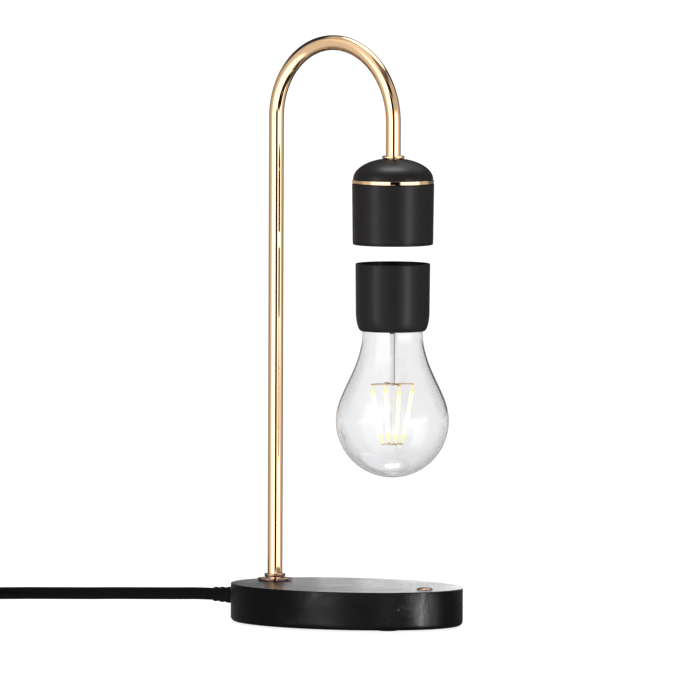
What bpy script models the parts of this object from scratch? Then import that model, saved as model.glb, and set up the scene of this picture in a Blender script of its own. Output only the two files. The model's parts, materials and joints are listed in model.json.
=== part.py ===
"""A levitating table lamp: an oval base with a hooked tube, a magnet head and a bulb that floats under it.

Metres, +Z up. The origin is the middle of the base's footprint on the table. +X runs along the oval,
from the tube's foot to the power button, and the power lead leaves the base at -X.
Run it with blender --background --python part.py, or from Blender's text editor.
"""

import math

import bmesh
import bpy
from mathutils import Matrix, Vector

# Clearances that many pieces share
SEAT_GAP = 0.0003
BORE_CLEARANCE = 0.0003
CUT_OVERRUN = 0.002
WELD_DISTANCE = 0.000005

# How finely round pieces are divided
FINE_STEPS = 40
ROUND_STEPS = 28
SMALL_STEPS = 16
HOLE_STEPS = 12
WIRE_STEPS = 8
SHARP_ANGLE_DEG = 35

# The oval base and what closes it
BASE_LENGTH = 0.136
BASE_WIDTH = 0.104
BASE_HEIGHT = 0.0202
BASE_WALL = 0.005
BASE_TOP_THICKNESS = 0.0035
BASE_LOWER_EDGE = 0.0022
BASE_UPPER_EDGE = 0.0004
BASE_SEGMENTS = 64
FOOT_DIAMETER = 0.010
FOOT_PROUD = 0.0008
FOOT_SUNK = 0.0006
FOOT_INSET_X = 0.022
FOOT_INSET_Y = 0.032
PLATE_THICKNESS = 0.0016
PLATE_RECESS = 0.0004
POST_DIAMETER = 0.007
POST_INSET_X = 0.030
POST_INSET_Y = 0.023
SCREW_SHANK_DIAMETER = 0.0026
SCREW_SHANK_LENGTH = 0.007
SCREW_HEAD_DIAMETER = 0.0050
SCREW_HEAD_HEIGHT = 0.0009
SCREW_SLOT_WIDTH = 0.0007
SCREW_SLOT_DEPTH = 0.0004

# What the base holds
BALLAST_INSET_X = 0.037
BALLAST_INSET_Y = 0.030
BALLAST_THICKNESS = 0.004
BOARD_WIDTH = 0.028
BOARD_PAST_BUTTON = 0.0025
BOARD_FROM_WIRING = 0.0135
BOARD_THICKNESS = 0.0016
CHARGING_COIL_DIAMETER = 0.044
CHARGING_COIL_BORE = 0.020
CHARGING_COIL_THICKNESS = 0.0012
FERRITE_DIAMETER = 0.048
FERRITE_THICKNESS = 0.0008

# The power button over its switch
BUTTON_INSET = 0.0135
BUTTON_DIAMETER = 0.0085
BUTTON_PROUD = 0.0014
BUTTON_EDGE = 0.0006
BUTTON_TRAVEL = 0.0005
BUTTON_LIP = 0.0011
BUTTON_LIP_THICKNESS = 0.0010
BUTTON_STEM_DIAMETER = 0.004
SWITCH_WIDTH = 0.006
SWITCH_HEIGHT = 0.0035

# The hooked tube
TUBE_INSET = 0.0175
TUBE_DIAMETER = 0.008
TUBE_WALL = 0.0008
TUBE_BEVEL_RESOLUTION = 5
POST_HEIGHT = 0.247
HOOK_RADIUS = 0.041
HOOK_DROP = 0.0175
HOOK_SEGMENTS = 20
FLANGE_DIAMETER = 0.0185
FLANGE_THICKNESS = 0.0012
FLANGE_EDGE = 0.0004
COLLAR_DIAMETER = 0.0113
COLLAR_HEIGHT = 0.0020
COLLAR_EDGE = 0.0006
NUT_WIDTH = 0.0125
NUT_HEIGHT = 0.004
WIRING_DIAMETER = 0.0050
WIRING_BEND = 0.006

# The head: collar, dome, trim ring and shell
HEAD_COLLAR_DIAMETER = 0.0121
HEAD_COLLAR_HEIGHT = 0.0014
HEAD_COLLAR_EDGE = 0.0004
DOME_DIAMETER = 0.0426
DOME_CROWN = 0.0112
DOME_HEIGHT = 0.0107
DOME_WALL = 0.0016
DOME_POINTS = 7
SPIGOT_DIAMETER = 0.0386
SPIGOT_WALL = 0.0014
SPIGOT_DEPTH = 0.0046
TRIM_DIAMETER = 0.0434
TRIM_THICKNESS = 0.0018
TRIM_EDGE = 0.0003
HEAD_DIAMETER = 0.0436
HEAD_FOOT_DIAMETER = 0.0428
HEAD_HEIGHT = 0.0324
HEAD_WALL = 0.0018
HEAD_LEDGE = 0.0007
HEAD_EDGE = 0.0009
HEAD_NUT_HEIGHT = 0.003
TUBE_PAST_HEAD_NUT = 0.0005

# What the head holds
HEAD_BOARD_THICKNESS = 0.0012
HEAD_BOARD_DEPTH = 0.0055
LIFT_CORE_DIAMETER = 0.008
LIFT_CORE_CAP_DIAMETER = 0.022
LIFT_CORE_CAP_THICKNESS = 0.0015
BOBBIN_DIAMETER = 0.0262
BOBBIN_HEIGHT = 0.016
BOBBIN_WALL = 0.001
WINDING_DIAMETER = 0.0246
TRANSMIT_COIL_DIAMETER = 0.0368
TRANSMIT_COIL_WIDTH = 0.0044
TRANSMIT_COIL_THICKNESS = 0.0025

# The floating bulb's cup
FLOAT_GAP = 0.0099
CUP_DIAMETER = 0.0397
CUP_WAIST_DIAMETER = 0.0392
CUP_MOUTH_DIAMETER = 0.0332
CUP_HEIGHT = 0.0359
CUP_TAPER_HEIGHT = 0.0105
CUP_TAPER_POINTS = 6
CUP_RIM_WALL = 0.0014
CUP_LEDGE = 0.0008
CUP_RECESS = 0.0035
LID_THICKNESS = 0.0015
MAGNET_DIAMETER = 0.018
MAGNET_THICKNESS = 0.006
RECEIVE_COIL_WIDTH = 0.0055
RECEIVE_COIL_THICKNESS = 0.002
HOLDER_FLOOR = 0.0016
HOLDER_HEIGHT = 0.0085
HOLDER_SKIRT = 0.0016
DRIVER_BOARD_THICKNESS = 0.0014

# The glass bulb
BULB_DIAMETER = 0.060
BULB_LENGTH = 0.0778
GLASS_WALL = 0.0008
GLASS_NECK_DIAMETER = 0.0320
GLASS_THROAT_DIAMETER = 0.0290
GLASS_THROAT_HEIGHT = 0.010
GLASS_SPHERE_POINTS = 11
GLASS_NECK_POINTS = 6
GLASS_INNER_SPHERE_POINTS = 6
GLASS_INNER_NECK_POINTS = 4
SPHERE_END_SHARE = 0.25
NECK_PULL_LOW_SHARE = 0.28
NECK_PULL_HIGH_SHARE = 0.42
STEM_FLARE_THICKNESS = 0.0012
STEM_FLARE_LENGTH = 0.012
STEM_THROAT_DIAMETER = 0.007
STEM_ROD_DIAMETER = 0.0029
STEM_TIP_DIAMETER = 0.0016
LEAD_DIAMETER = 0.0007
LEAD_OFFSET = 0.0030

# The glowing filaments, between an upper and a lower wire cross
FILAMENT_COUNT = 4
FILAMENT_TURN_DEG = -30
UPPER_CROSS_DROP = 0.0285
UPPER_CROSS_REACH = 0.012
LOWER_CROSS_DROP = 0.0602
LOWER_CROSS_REACH = 0.006
CROSS_WIRE_DIAMETER = 0.0009
CROSS_HUB_WALL = 0.0007
CROSS_HUB_HEIGHT = 0.0014
FILAMENT_DIAMETER = 0.0019
FILAMENT_PIN_DIAMETER = 0.0007
FILAMENT_PIN_LENGTH = 0.0026

# The power lead
LEAD_IN_HEIGHT = 0.0117
CORD_DIAMETER = 0.0065
BOOT_LENGTH = 0.024
BOOT_ROOT_DIAMETER = 0.0100
BOOT_TIP_DIAMETER = 0.0078
BOOT_RIB_DEPTH = 0.0006
BOOT_RIBS = 5
BOOT_PLUG_LENGTH = 0.0035
BOOT_NECK_DIAMETER = 0.008
CORD_SPACING = 0.015
CORD_BEVEL_RESOLUTION = 2
COIL_BEVEL_RESOLUTION = 1
CORD_ROUTE = [
    (-0.0926, 0, 0.0117),
    (-0.1060, 0, 0.0114),
    (-0.1200, 0, 0.0107),
    (-0.1350, 0, 0.0100),
    (-0.1500, 0, 0.0093),
    (-0.1650, 0, 0.0086),
    (-0.1800, 0, 0.0078),
    (-0.1950, 0, 0.0071),
    (-0.2100, 0, 0.0064),
    (-0.2250, 0, 0.0057),
    (-0.2400, 0, 0.0049),
    (-0.2550, 0, 0.0041),
    (-0.2680, 0, 0.0035),
    (-0.2782, 0, 0.0033),
]
COIL_CENTRE_X = -0.285
COIL_FLOOR_HEIGHT = 0.0033
COIL_MEAN_RADIUS = 0.0333
COIL_TURNS = 6
COIL_TURN_POINTS = 24
COIL_TURN_GAP = 0.0006
TAIL_ROUTE = [
    (-0.2918, 0, 0.0104),
    (-0.3020, 0, 0.0107),
    (-0.3120, 0, 0.0114),
    (-0.3220, 0, 0.0122),
    (-0.3320, 0, 0.0128),
    (-0.3400, 0, 0.0130),
]
TIE_WIDTH = 0.009
TIE_THICKNESS = 0.0008
TIE_CORNER = 0.0025
TIE_ANGLE_DEG = 235
TIE_RISE_ANGLE_DEG = 50
TIE_LIFT = TIE_THICKNESS + 2 * SEAT_GAP
INNER_LEAD_DIAMETER = 0.004
INNER_LEAD_SIDE = 0.009
INNER_LEAD_STRAIGHT = 0.0025

# The plug-in adapter on the lead's end
ADAPTER_LENGTH = 0.052
ADAPTER_WIDTH = 0.040
ADAPTER_HEIGHT = 0.026
ADAPTER_WALL = 0.002
ADAPTER_EDGE = 0.003
ADAPTER_COVER_LENGTH = 0.012
ADAPTER_BOARD_LENGTH = 0.030
ADAPTER_BOARD_THICKNESS = 0.0016
ADAPTER_BOARD_HEIGHT = 0.0045
ADAPTER_BOOT_LENGTH = 0.012
ADAPTER_BOOT_DIAMETER = 0.0092
BLADE_WIDTH = 0.0063
BLADE_THICKNESS = 0.0015
BLADE_LENGTH = 0.0165
BLADE_ROOT = 0.004
BLADE_SPACING = 0.0127

# Places that follow from the sizes above
base_half_x = BASE_LENGTH / 2
base_half_y = BASE_WIDTH / 2
tube_x = TUBE_INSET - base_half_x
button_x = base_half_x - BUTTON_INSET
base_low = FOOT_PROUD
base_top = base_low + BASE_HEIGHT
ceiling = base_top - BASE_TOP_THICKNESS
plate_low = base_low + PLATE_RECESS
plate_top = plate_low + PLATE_THICKNESS
ballast_top = plate_top + SEAT_GAP + BALLAST_THICKNESS
board_low = ballast_top + SEAT_GAP
board_top = board_low + BOARD_THICKNESS
nut_low = ceiling - SEAT_GAP - NUT_HEIGHT
arc_level = base_top + POST_HEIGHT
bulb_x = tube_x + 2 * HOOK_RADIUS
head_collar_top = arc_level - HOOK_DROP
dome_top = head_collar_top - HEAD_COLLAR_HEIGHT - SEAT_GAP
dome_low = dome_top - DOME_HEIGHT
trim_top = dome_low - SEAT_GAP
shell_top = trim_top - TRIM_THICKNESS - SEAT_GAP
head_low = shell_top - HEAD_HEIGHT
cup_top = head_low - FLOAT_GAP
cup_low = cup_top - CUP_HEIGHT
bulb_low = cup_low - BULB_LENGTH
cross_height = cup_low - UPPER_CROSS_DROP
lower_cross_height = cup_low - LOWER_CROSS_DROP
board_start_x = tube_x + WIRING_BEND + BOARD_FROM_WIRING
board_end_x = button_x + BOARD_PAST_BUTTON
post_places = (base_half_x - POST_INSET_X, base_half_y - POST_INSET_Y)
foot_places = (base_half_x - FOOT_INSET_X, base_half_y - FOOT_INSET_Y)

parts = None
helpers = None


def clear_scene():
    for obj in list(bpy.data.objects):
        bpy.data.objects.remove(obj)


def new_collection(name):
    collection = bpy.data.collections.new(name)
    bpy.context.scene.collection.children.link(collection)
    return collection


def material(name, colour, roughness, metallic=0.0, alpha=1.0):
    made = bpy.data.materials.new(name)
    made.use_nodes = True
    shader = made.node_tree.nodes["Principled BSDF"]
    shader.inputs["Base Color"].default_value = (*colour, 1.0)
    shader.inputs["Roughness"].default_value = roughness
    shader.inputs["Metallic"].default_value = metallic
    shader.inputs["Alpha"].default_value = alpha
    made.diffuse_color = (*colour, alpha)
    return made


def make_materials():
    return {
        "black_wood": material("black_wood", (0.012, 0.012, 0.013), 0.35),
        "satin_black": material("satin_black", (0.018, 0.017, 0.017), 0.42),
        "rose_gold": material("rose_gold", (0.83, 0.56, 0.38), 0.12, 1.0),
        "steel": material("steel", (0.55, 0.55, 0.56), 0.35, 1.0),
        "copper": material("copper", (0.72, 0.33, 0.16), 0.35, 1.0),
        "ferrite": material("ferrite", (0.05, 0.05, 0.055), 0.6),
        "magnet_nickel": material("magnet_nickel", (0.6, 0.6, 0.58), 0.22, 1.0),
        "circuit_board": material("circuit_board", (0.02, 0.16, 0.07), 0.45),
        "white_plastic": material("white_plastic", (0.75, 0.75, 0.73), 0.5),
        "rubber": material("rubber", (0.02, 0.02, 0.02), 0.75),
        "cord_black": material("cord_black", (0.015, 0.015, 0.016), 0.4),
        "case_black": material("case_black", (0.02, 0.02, 0.021), 0.5),
        "clear_glass": material("clear_glass", (0.95, 0.97, 0.97), 0.02, 0.0, 0.25),
        "filament_glow": material("filament_glow", (1.0, 0.84, 0.35), 0.5),
        "cross_wire": material("cross_wire", (0.75, 0.6, 0.4), 0.3, 1.0),
    }


def link(obj, collection, surface=None):
    collection.objects.link(obj)
    if surface is not None:
        obj.data.materials.clear()
        obj.data.materials.append(surface)
    return obj


def as_helper(obj):
    """A cutter or a guide isn't part of the lamp."""
    for collection in list(obj.users_collection):
        collection.objects.unlink(obj)
    helpers.objects.link(obj)
    obj.hide_render = True
    obj.display_type = "WIRE"
    return obj


def mesh_object(name, bm, surface=None):
    mesh = bpy.data.meshes.new(name)
    bmesh.ops.recalc_face_normals(bm, faces=bm.faces)
    bm.to_mesh(mesh)
    bm.free()
    obj = link(bpy.data.objects.new(name, mesh), parts, surface)
    return shade(obj)


def shade(obj, angle_deg=SHARP_ANGLE_DEG):
    obj.data.shade_smooth()
    obj.data.set_sharp_from_angle(angle=math.radians(angle_deg))
    return obj


def turned(name, profile, surface, centre=(0, 0), steps=ROUND_STEPS, ring=False):
    """A turned piece. The profile is (radius, height), from its inner top round and down its outer side."""
    mesh = bpy.data.meshes.new(name)
    edges = [(i, i + 1) for i in range(len(profile) - 1)]
    if ring:
        edges.append((len(profile) - 1, 0))
    mesh.from_pydata([(r, 0, z) for r, z in profile], edges, [])
    obj = link(bpy.data.objects.new(name, mesh), parts, surface)
    obj.location = (centre[0], centre[1], 0)
    screw = obj.modifiers.new("turn", "SCREW")
    screw.steps = steps
    screw.render_steps = steps
    screw.use_merge_vertices = True
    screw.merge_threshold = WELD_DISTANCE
    return shade(as_mesh(obj))


def disc_profile(radius, low, high, edge=0.0):
    """A plain round slab, with its two edges chamfered where edge says so."""
    if not edge:
        return [(0, high), (radius, high), (radius, low), (0, low)]
    return [
        (0, high), (radius - edge, high), (radius, high - edge),
        (radius, low + edge), (radius - edge, low), (0, low),
    ]


def ring_profile(inner, outer, low, high, edge=0.0):
    """A washer's section, closed by ring=True."""
    if not edge:
        return [(inner, high), (outer, high), (outer, low), (inner, low)]
    return [
        (inner, high), (outer - edge, high), (outer, high - edge),
        (outer, low + edge), (outer - edge, low), (inner, low),
    ]


def oval(name, half_x, half_y, low, high, surface=None, lower_edge=0.0, upper_edge=0.0):
    """An upright oval prism with rounded lower and upper edges."""
    bm = bmesh.new()
    bmesh.ops.create_cone(bm, cap_ends=True, segments=BASE_SEGMENTS, radius1=1, radius2=1, depth=1)
    bmesh.ops.scale(bm, vec=(half_x, half_y, high - low), verts=bm.verts)
    bmesh.ops.translate(bm, vec=(0, 0, (low + high) / 2), verts=bm.verts)
    for edge_size, level, cuts in ((lower_edge, low, 3), (upper_edge, high, 1)):
        if edge_size:
            rim = [e for e in bm.edges if all(abs(v.co.z - level) < edge_size / 10 for v in e.verts)]
            bmesh.ops.bevel(bm, geom=rim, offset=edge_size, segments=cuts, profile=0.5, affect="EDGES")
    return mesh_object(name, bm, surface)


def box(name, low, high, surface=None, edge=0.0, edge_cuts=2, along=None):
    """A block between two corners, its edges rounded where edge says so, or only those along one axis."""
    bm = bmesh.new()
    bmesh.ops.create_cube(bm, size=1)
    low, high = Vector(low), Vector(high)
    bmesh.ops.scale(bm, vec=high - low, verts=bm.verts)
    bmesh.ops.translate(bm, vec=(low + high) / 2, verts=bm.verts)
    if edge:
        picked = [e for e in bm.edges if along is None or abs((e.verts[0].co - e.verts[1].co)[along]) > edge]
        bmesh.ops.bevel(bm, geom=picked, offset=edge, segments=edge_cuts, profile=0.5, affect="EDGES")
    return mesh_object(name, bm, surface)


def rod(name, start, end, diameter, surface=None, segments=SMALL_STEPS):
    """A straight round bar between two points."""
    start, end = Vector(start), Vector(end)
    bm = bmesh.new()
    turn = (end - start).to_track_quat("Z", "Y").to_matrix().to_4x4()
    place = Matrix.Translation((start + end) / 2) @ turn
    bmesh.ops.create_cone(
        bm, cap_ends=True, segments=segments, radius1=diameter / 2, radius2=diameter / 2,
        depth=(end - start).length, matrix=place,
    )
    return mesh_object(name, bm, surface)


def tube(name, points, diameter, surface=None, resolution=2):
    """A round bar or lead along points, as a curve with a round bevel and filled caps."""
    data = bpy.data.curves.new(name, "CURVE")
    data.dimensions = "3D"
    data.bevel_depth = diameter / 2
    data.bevel_resolution = resolution
    data.use_fill_caps = True
    spline = data.splines.new("POLY")
    spline.points.add(len(points) - 1)
    for point, place in zip(spline.points, points):
        point.co = (*place, 1)
    return link(bpy.data.objects.new(name, data), parts, surface)


def as_mesh(obj):
    """Turns a curve or a modified object into a plain mesh of the same name, closed at its caps."""
    bpy.context.view_layer.update()
    evaluated = obj.evaluated_get(bpy.context.evaluated_depsgraph_get())
    mesh = bpy.data.meshes.new_from_object(evaluated)
    bm = bmesh.new()
    bm.from_mesh(mesh)
    bmesh.ops.remove_doubles(bm, verts=bm.verts, dist=WELD_DISTANCE)
    bm.to_mesh(mesh)
    bm.free()
    name, place = obj.name, obj.matrix_world.copy()
    surfaces = list(obj.data.materials)
    collection = obj.users_collection[0]
    bpy.data.objects.remove(obj)
    made = bpy.data.objects.new(name, mesh)
    made.matrix_world = place
    collection.objects.link(made)
    mesh.materials.clear()
    for surface in surfaces:
        mesh.materials.append(surface)
    return made


def combine(target, other, operation):
    """A Boolean with another mesh, which becomes a helper."""
    as_helper(other)
    step = target.modifiers.new(operation.lower(), "BOOLEAN")
    step.operation = operation
    step.object = other
    step.solver = "EXACT"
    return target


def cut_round(target, x, y, low, high, diameter, steps=SMALL_STEPS):
    """An upright round hole."""
    cutter = rod(f"cut_{target.name}", (x, y, low), (x, y, high), diameter, segments=steps)
    return combine(target, cutter, "DIFFERENCE")


def smooth_points(route, spacing):
    """Points at an even spacing along the smooth curve through a route."""
    route = [Vector(p) for p in route]
    ends = [2 * route[0] - route[1]] + route + [2 * route[-1] - route[-2]]
    dense = []
    for a, b, c, d in zip(ends, ends[1:], ends[2:], ends[3:]):
        for i in range(12):
            t = i / 12
            square = (2 * a - 5 * b + 4 * c - d) * t**2
            cube = (3 * b - a - 3 * c + d) * t**3
            dense.append((2 * b + (c - a) * t + square + cube) / 2)
    dense.append(route[-1])
    length = sum((q - p).length for p, q in zip(dense, dense[1:]))
    count = max(2, round(length / spacing))
    points, walked, target = [dense[0]], 0.0, 1
    for p, q in zip(dense, dense[1:]):
        step = (q - p).length
        while target < count and walked + step >= target * length / count:
            share = (target * length / count - walked) / step
            points.append(p.lerp(q, share))
            target += 1
        walked += step
    return points + [dense[-1]]


def path_length(points):
    return sum((Vector(q) - Vector(p)).length for p, q in zip(points, points[1:]))


def corner_places(reach_x, reach_y):
    return [(x * reach_x, y * reach_y) for x in (-1, 1) for y in (-1, 1)]


def on_bulb_axis(radius, angle_deg, height):
    """A point round the bulb's upright axis."""
    angle = math.radians(angle_deg)
    return Vector((bulb_x + radius * math.cos(angle), radius * math.sin(angle), height))


def make_base(surfaces):
    half_x, half_y = base_half_x, base_half_y
    shell = oval(
        "base_shell", half_x, half_y, base_low, base_top, surfaces["black_wood"],
        lower_edge=BASE_LOWER_EDGE, upper_edge=BASE_UPPER_EDGE,
    )
    inside = oval("cut_inside", half_x - BASE_WALL, half_y - BASE_WALL, base_low - CUT_OVERRUN, ceiling)
    for x, y in corner_places(*post_places):
        post = rod("keep_post", (x, y, plate_top + SEAT_GAP), (x, y, ceiling + CUT_OVERRUN), POST_DIAMETER)
        combine(inside, post, "DIFFERENCE")
    combine(shell, as_helper(inside), "DIFFERENCE")
    hole = SCREW_SHANK_DIAMETER + 2 * BORE_CLEARANCE
    hole_top = plate_low + SCREW_SHANK_LENGTH + SEAT_GAP
    for x, y in corner_places(*post_places):
        cut_round(shell, x, y, plate_top - CUT_OVERRUN, hole_top, hole, HOLE_STEPS)
    for x, diameter in ((tube_x, TUBE_DIAMETER), (button_x, BUTTON_DIAMETER)):
        bore = diameter + 2 * BORE_CLEARANCE
        cut_round(shell, x, 0, ceiling - CUT_OVERRUN, base_top + CUT_OVERRUN, bore)
    lead_hole = rod(
        "cut_lead_hole", (-half_x - CUT_OVERRUN, 0, LEAD_IN_HEIGHT),
        (-half_x + BASE_WALL + CUT_OVERRUN, 0, LEAD_IN_HEIGHT), BOOT_NECK_DIAMETER + 2 * BORE_CLEARANCE,
    )
    combine(shell, lead_hole, "DIFFERENCE")
    return shell


def make_bottom(surfaces):
    inset = BASE_WALL + SEAT_GAP
    plate = oval(
        "bottom_plate", base_half_x - inset, base_half_y - inset, plate_low, plate_top,
        surfaces["case_black"],
    )
    for x, y in corner_places(*post_places):
        cut_round(
            plate, x, y, plate_low - CUT_OVERRUN, plate_top + CUT_OVERRUN,
            SCREW_SHANK_DIAMETER + 2 * BORE_CLEARANCE, HOLE_STEPS,
        )
        cut_round(
            plate, x, y, plate_low - CUT_OVERRUN, plate_low + SCREW_HEAD_HEIGHT,
            SCREW_HEAD_DIAMETER + 2 * BORE_CLEARANCE, HOLE_STEPS,
        )
    for x, y in corner_places(*foot_places):
        pocket = FOOT_DIAMETER + 2 * BORE_CLEARANCE
        cut_round(plate, x, y, plate_low - CUT_OVERRUN, plate_low + FOOT_SUNK, pocket)
    for number, (x, y) in enumerate(corner_places(*post_places), 1):
        head_top = plate_low + SCREW_HEAD_HEIGHT - SEAT_GAP
        head_low_face = plate_low - SEAT_GAP
        profile = [
            (0, plate_low + SCREW_SHANK_LENGTH), (SCREW_SHANK_DIAMETER / 2, plate_low + SCREW_SHANK_LENGTH),
            (SCREW_SHANK_DIAMETER / 2, head_top), (SCREW_HEAD_DIAMETER / 2, head_top),
            (SCREW_HEAD_DIAMETER / 2, head_low_face), (0, head_low_face),
        ]
        screw = turned(f"plate_screw_{number}", profile, surfaces["steel"], (x, y), steps=HOLE_STEPS)
        for turn_x in (True, False):
            reach, across = SCREW_HEAD_DIAMETER / 3, SCREW_SLOT_WIDTH / 2
            half = (reach, across) if turn_x else (across, reach)
            slot = box(
                "cut_slot", (x - half[0], y - half[1], head_low_face - CUT_OVERRUN),
                (x + half[0], y + half[1], head_low_face + SCREW_SLOT_DEPTH),
            )
            combine(screw, slot, "DIFFERENCE")
    for number, (x, y) in enumerate(corner_places(*foot_places), 1):
        profile = disc_profile(FOOT_DIAMETER / 2, 0, plate_low + FOOT_SUNK - SEAT_GAP)
        turned(f"rubber_foot_{number}", profile, surfaces["rubber"], (x, y), steps=SMALL_STEPS)


def make_base_contents(surfaces):
    half_x, half_y = base_half_x - BALLAST_INSET_X, base_half_y - BALLAST_INSET_Y
    box(
        "ballast_plate", (-half_x, -half_y, plate_top + SEAT_GAP), (half_x, half_y, ballast_top),
        surfaces["steel"],
    )
    box(
        "main_board", (board_start_x, -BOARD_WIDTH / 2, board_low),
        (board_end_x, BOARD_WIDTH / 2, board_top), surfaces["circuit_board"],
    )
    coil_top = ceiling - SEAT_GAP
    coil_low = coil_top - CHARGING_COIL_THICKNESS
    turned(
        "charging_coil", ring_profile(CHARGING_COIL_BORE / 2, CHARGING_COIL_DIAMETER / 2, coil_low, coil_top),
        surfaces["copper"], ring=True,
    )
    ferrite_top = coil_low - SEAT_GAP
    turned(
        "charging_ferrite", disc_profile(FERRITE_DIAMETER / 2, ferrite_top - FERRITE_THICKNESS, ferrite_top),
        surfaces["ferrite"],
    )


def make_button(surfaces):
    top = base_top + BUTTON_PROUD
    lip_top = ceiling - SEAT_GAP
    switch_low = board_top + SEAT_GAP
    switch_top = switch_low + SWITCH_HEIGHT
    stem_low = switch_top + BUTTON_TRAVEL + SEAT_GAP
    radius, stem = BUTTON_DIAMETER / 2, BUTTON_STEM_DIAMETER / 2
    profile = [
        (0, top), (radius - BUTTON_EDGE, top), (radius - BUTTON_EDGE / 3, top - BUTTON_EDGE / 3),
        (radius, top - BUTTON_EDGE), (radius, lip_top), (radius + BUTTON_LIP, lip_top),
        (radius + BUTTON_LIP, lip_top - BUTTON_LIP_THICKNESS), (stem, lip_top - BUTTON_LIP_THICKNESS),
        (stem, stem_low), (0, stem_low),
    ]
    turned("power_button", profile, surfaces["rose_gold"], (button_x, 0), steps=ROUND_STEPS)
    half = SWITCH_WIDTH / 2
    box(
        "button_switch", (button_x - half, -half, switch_low), (button_x + half, half, switch_top),
        surfaces["case_black"],
    )


def hook_path(low, end):
    """The tube's middle line: up the post, over the half circle and down to the head."""
    middle_x = tube_x + HOOK_RADIUS
    points = [Vector((tube_x, 0, low))]
    for i in range(HOOK_SEGMENTS + 1):
        angle = math.pi * (1 - i / HOOK_SEGMENTS)
        across, up = HOOK_RADIUS * math.cos(angle), HOOK_RADIUS * math.sin(angle)
        points.append(Vector((middle_x + across, 0, arc_level + up)))
    points.append(Vector((bulb_x, 0, end)))
    return points


def hex_nut(name, x, top, height, surfaces):
    nut_bore = TUBE_DIAMETER + 2 * BORE_CLEARANCE
    width_over_corners = NUT_WIDTH / math.cos(math.pi / 6)
    nut = rod(name, (x, 0, top - height), (x, 0, top), width_over_corners, surfaces["steel"], segments=6)
    return cut_round(nut, x, 0, top - height - CUT_OVERRUN, top + CUT_OVERRUN, nut_bore)


def make_hook(surfaces):
    head_nut_top = dome_top - DOME_WALL - SEAT_GAP
    tube_end = head_nut_top - HEAD_NUT_HEIGHT - TUBE_PAST_HEAD_NUT
    outside = tube(
        "hook_tube", hook_path(nut_low, tube_end), TUBE_DIAMETER, surfaces["rose_gold"], TUBE_BEVEL_RESOLUTION,
    )
    bore_diameter = TUBE_DIAMETER - 2 * TUBE_WALL
    bore = tube("cut_bore", hook_path(nut_low - CUT_OVERRUN, tube_end - CUT_OVERRUN), bore_diameter)
    combine(shade(as_mesh(outside)), as_mesh(bore), "DIFFERENCE")

    flange_low = base_top + SEAT_GAP
    flange_top = flange_low + FLANGE_THICKNESS
    bore_radius = TUBE_DIAMETER / 2 + BORE_CLEARANCE
    turned(
        "tube_flange", ring_profile(bore_radius, FLANGE_DIAMETER / 2, flange_low, flange_top, FLANGE_EDGE),
        surfaces["rose_gold"], (tube_x, 0), steps=ROUND_STEPS, ring=True,
    )
    collar_low = flange_top + SEAT_GAP
    turned(
        "tube_collar",
        ring_profile(bore_radius, COLLAR_DIAMETER / 2, collar_low, collar_low + COLLAR_HEIGHT, COLLAR_EDGE),
        surfaces["rose_gold"], (tube_x, 0), steps=ROUND_STEPS, ring=True,
    )
    hex_nut("tube_nut", tube_x, ceiling - SEAT_GAP, NUT_HEIGHT, surfaces)
    hex_nut("head_nut", bulb_x, head_nut_top, HEAD_NUT_HEIGHT, surfaces)

    # The wiring leaves the board's end, turns up into the tube and ends on the head's board.
    board_middle = (board_low + board_top) / 2
    bend_x = tube_x + WIRING_BEND
    bend_z = board_middle + WIRING_BEND
    route = [Vector((board_start_x - SEAT_GAP, 0, board_middle))]
    for i in range(5):
        angle = math.radians(270 - 90 * i / 4)
        across, up = WIRING_BEND * math.cos(angle), WIRING_BEND * math.sin(angle)
        route.append(Vector((bend_x + across, 0, bend_z + up)))
    wiring_end = shell_top - HEAD_BOARD_DEPTH + HEAD_BOARD_THICKNESS + SEAT_GAP
    tube("tube_wiring", route + hook_path(bend_z, wiring_end)[1:], WIRING_DIAMETER, surfaces["cord_black"])


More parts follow.
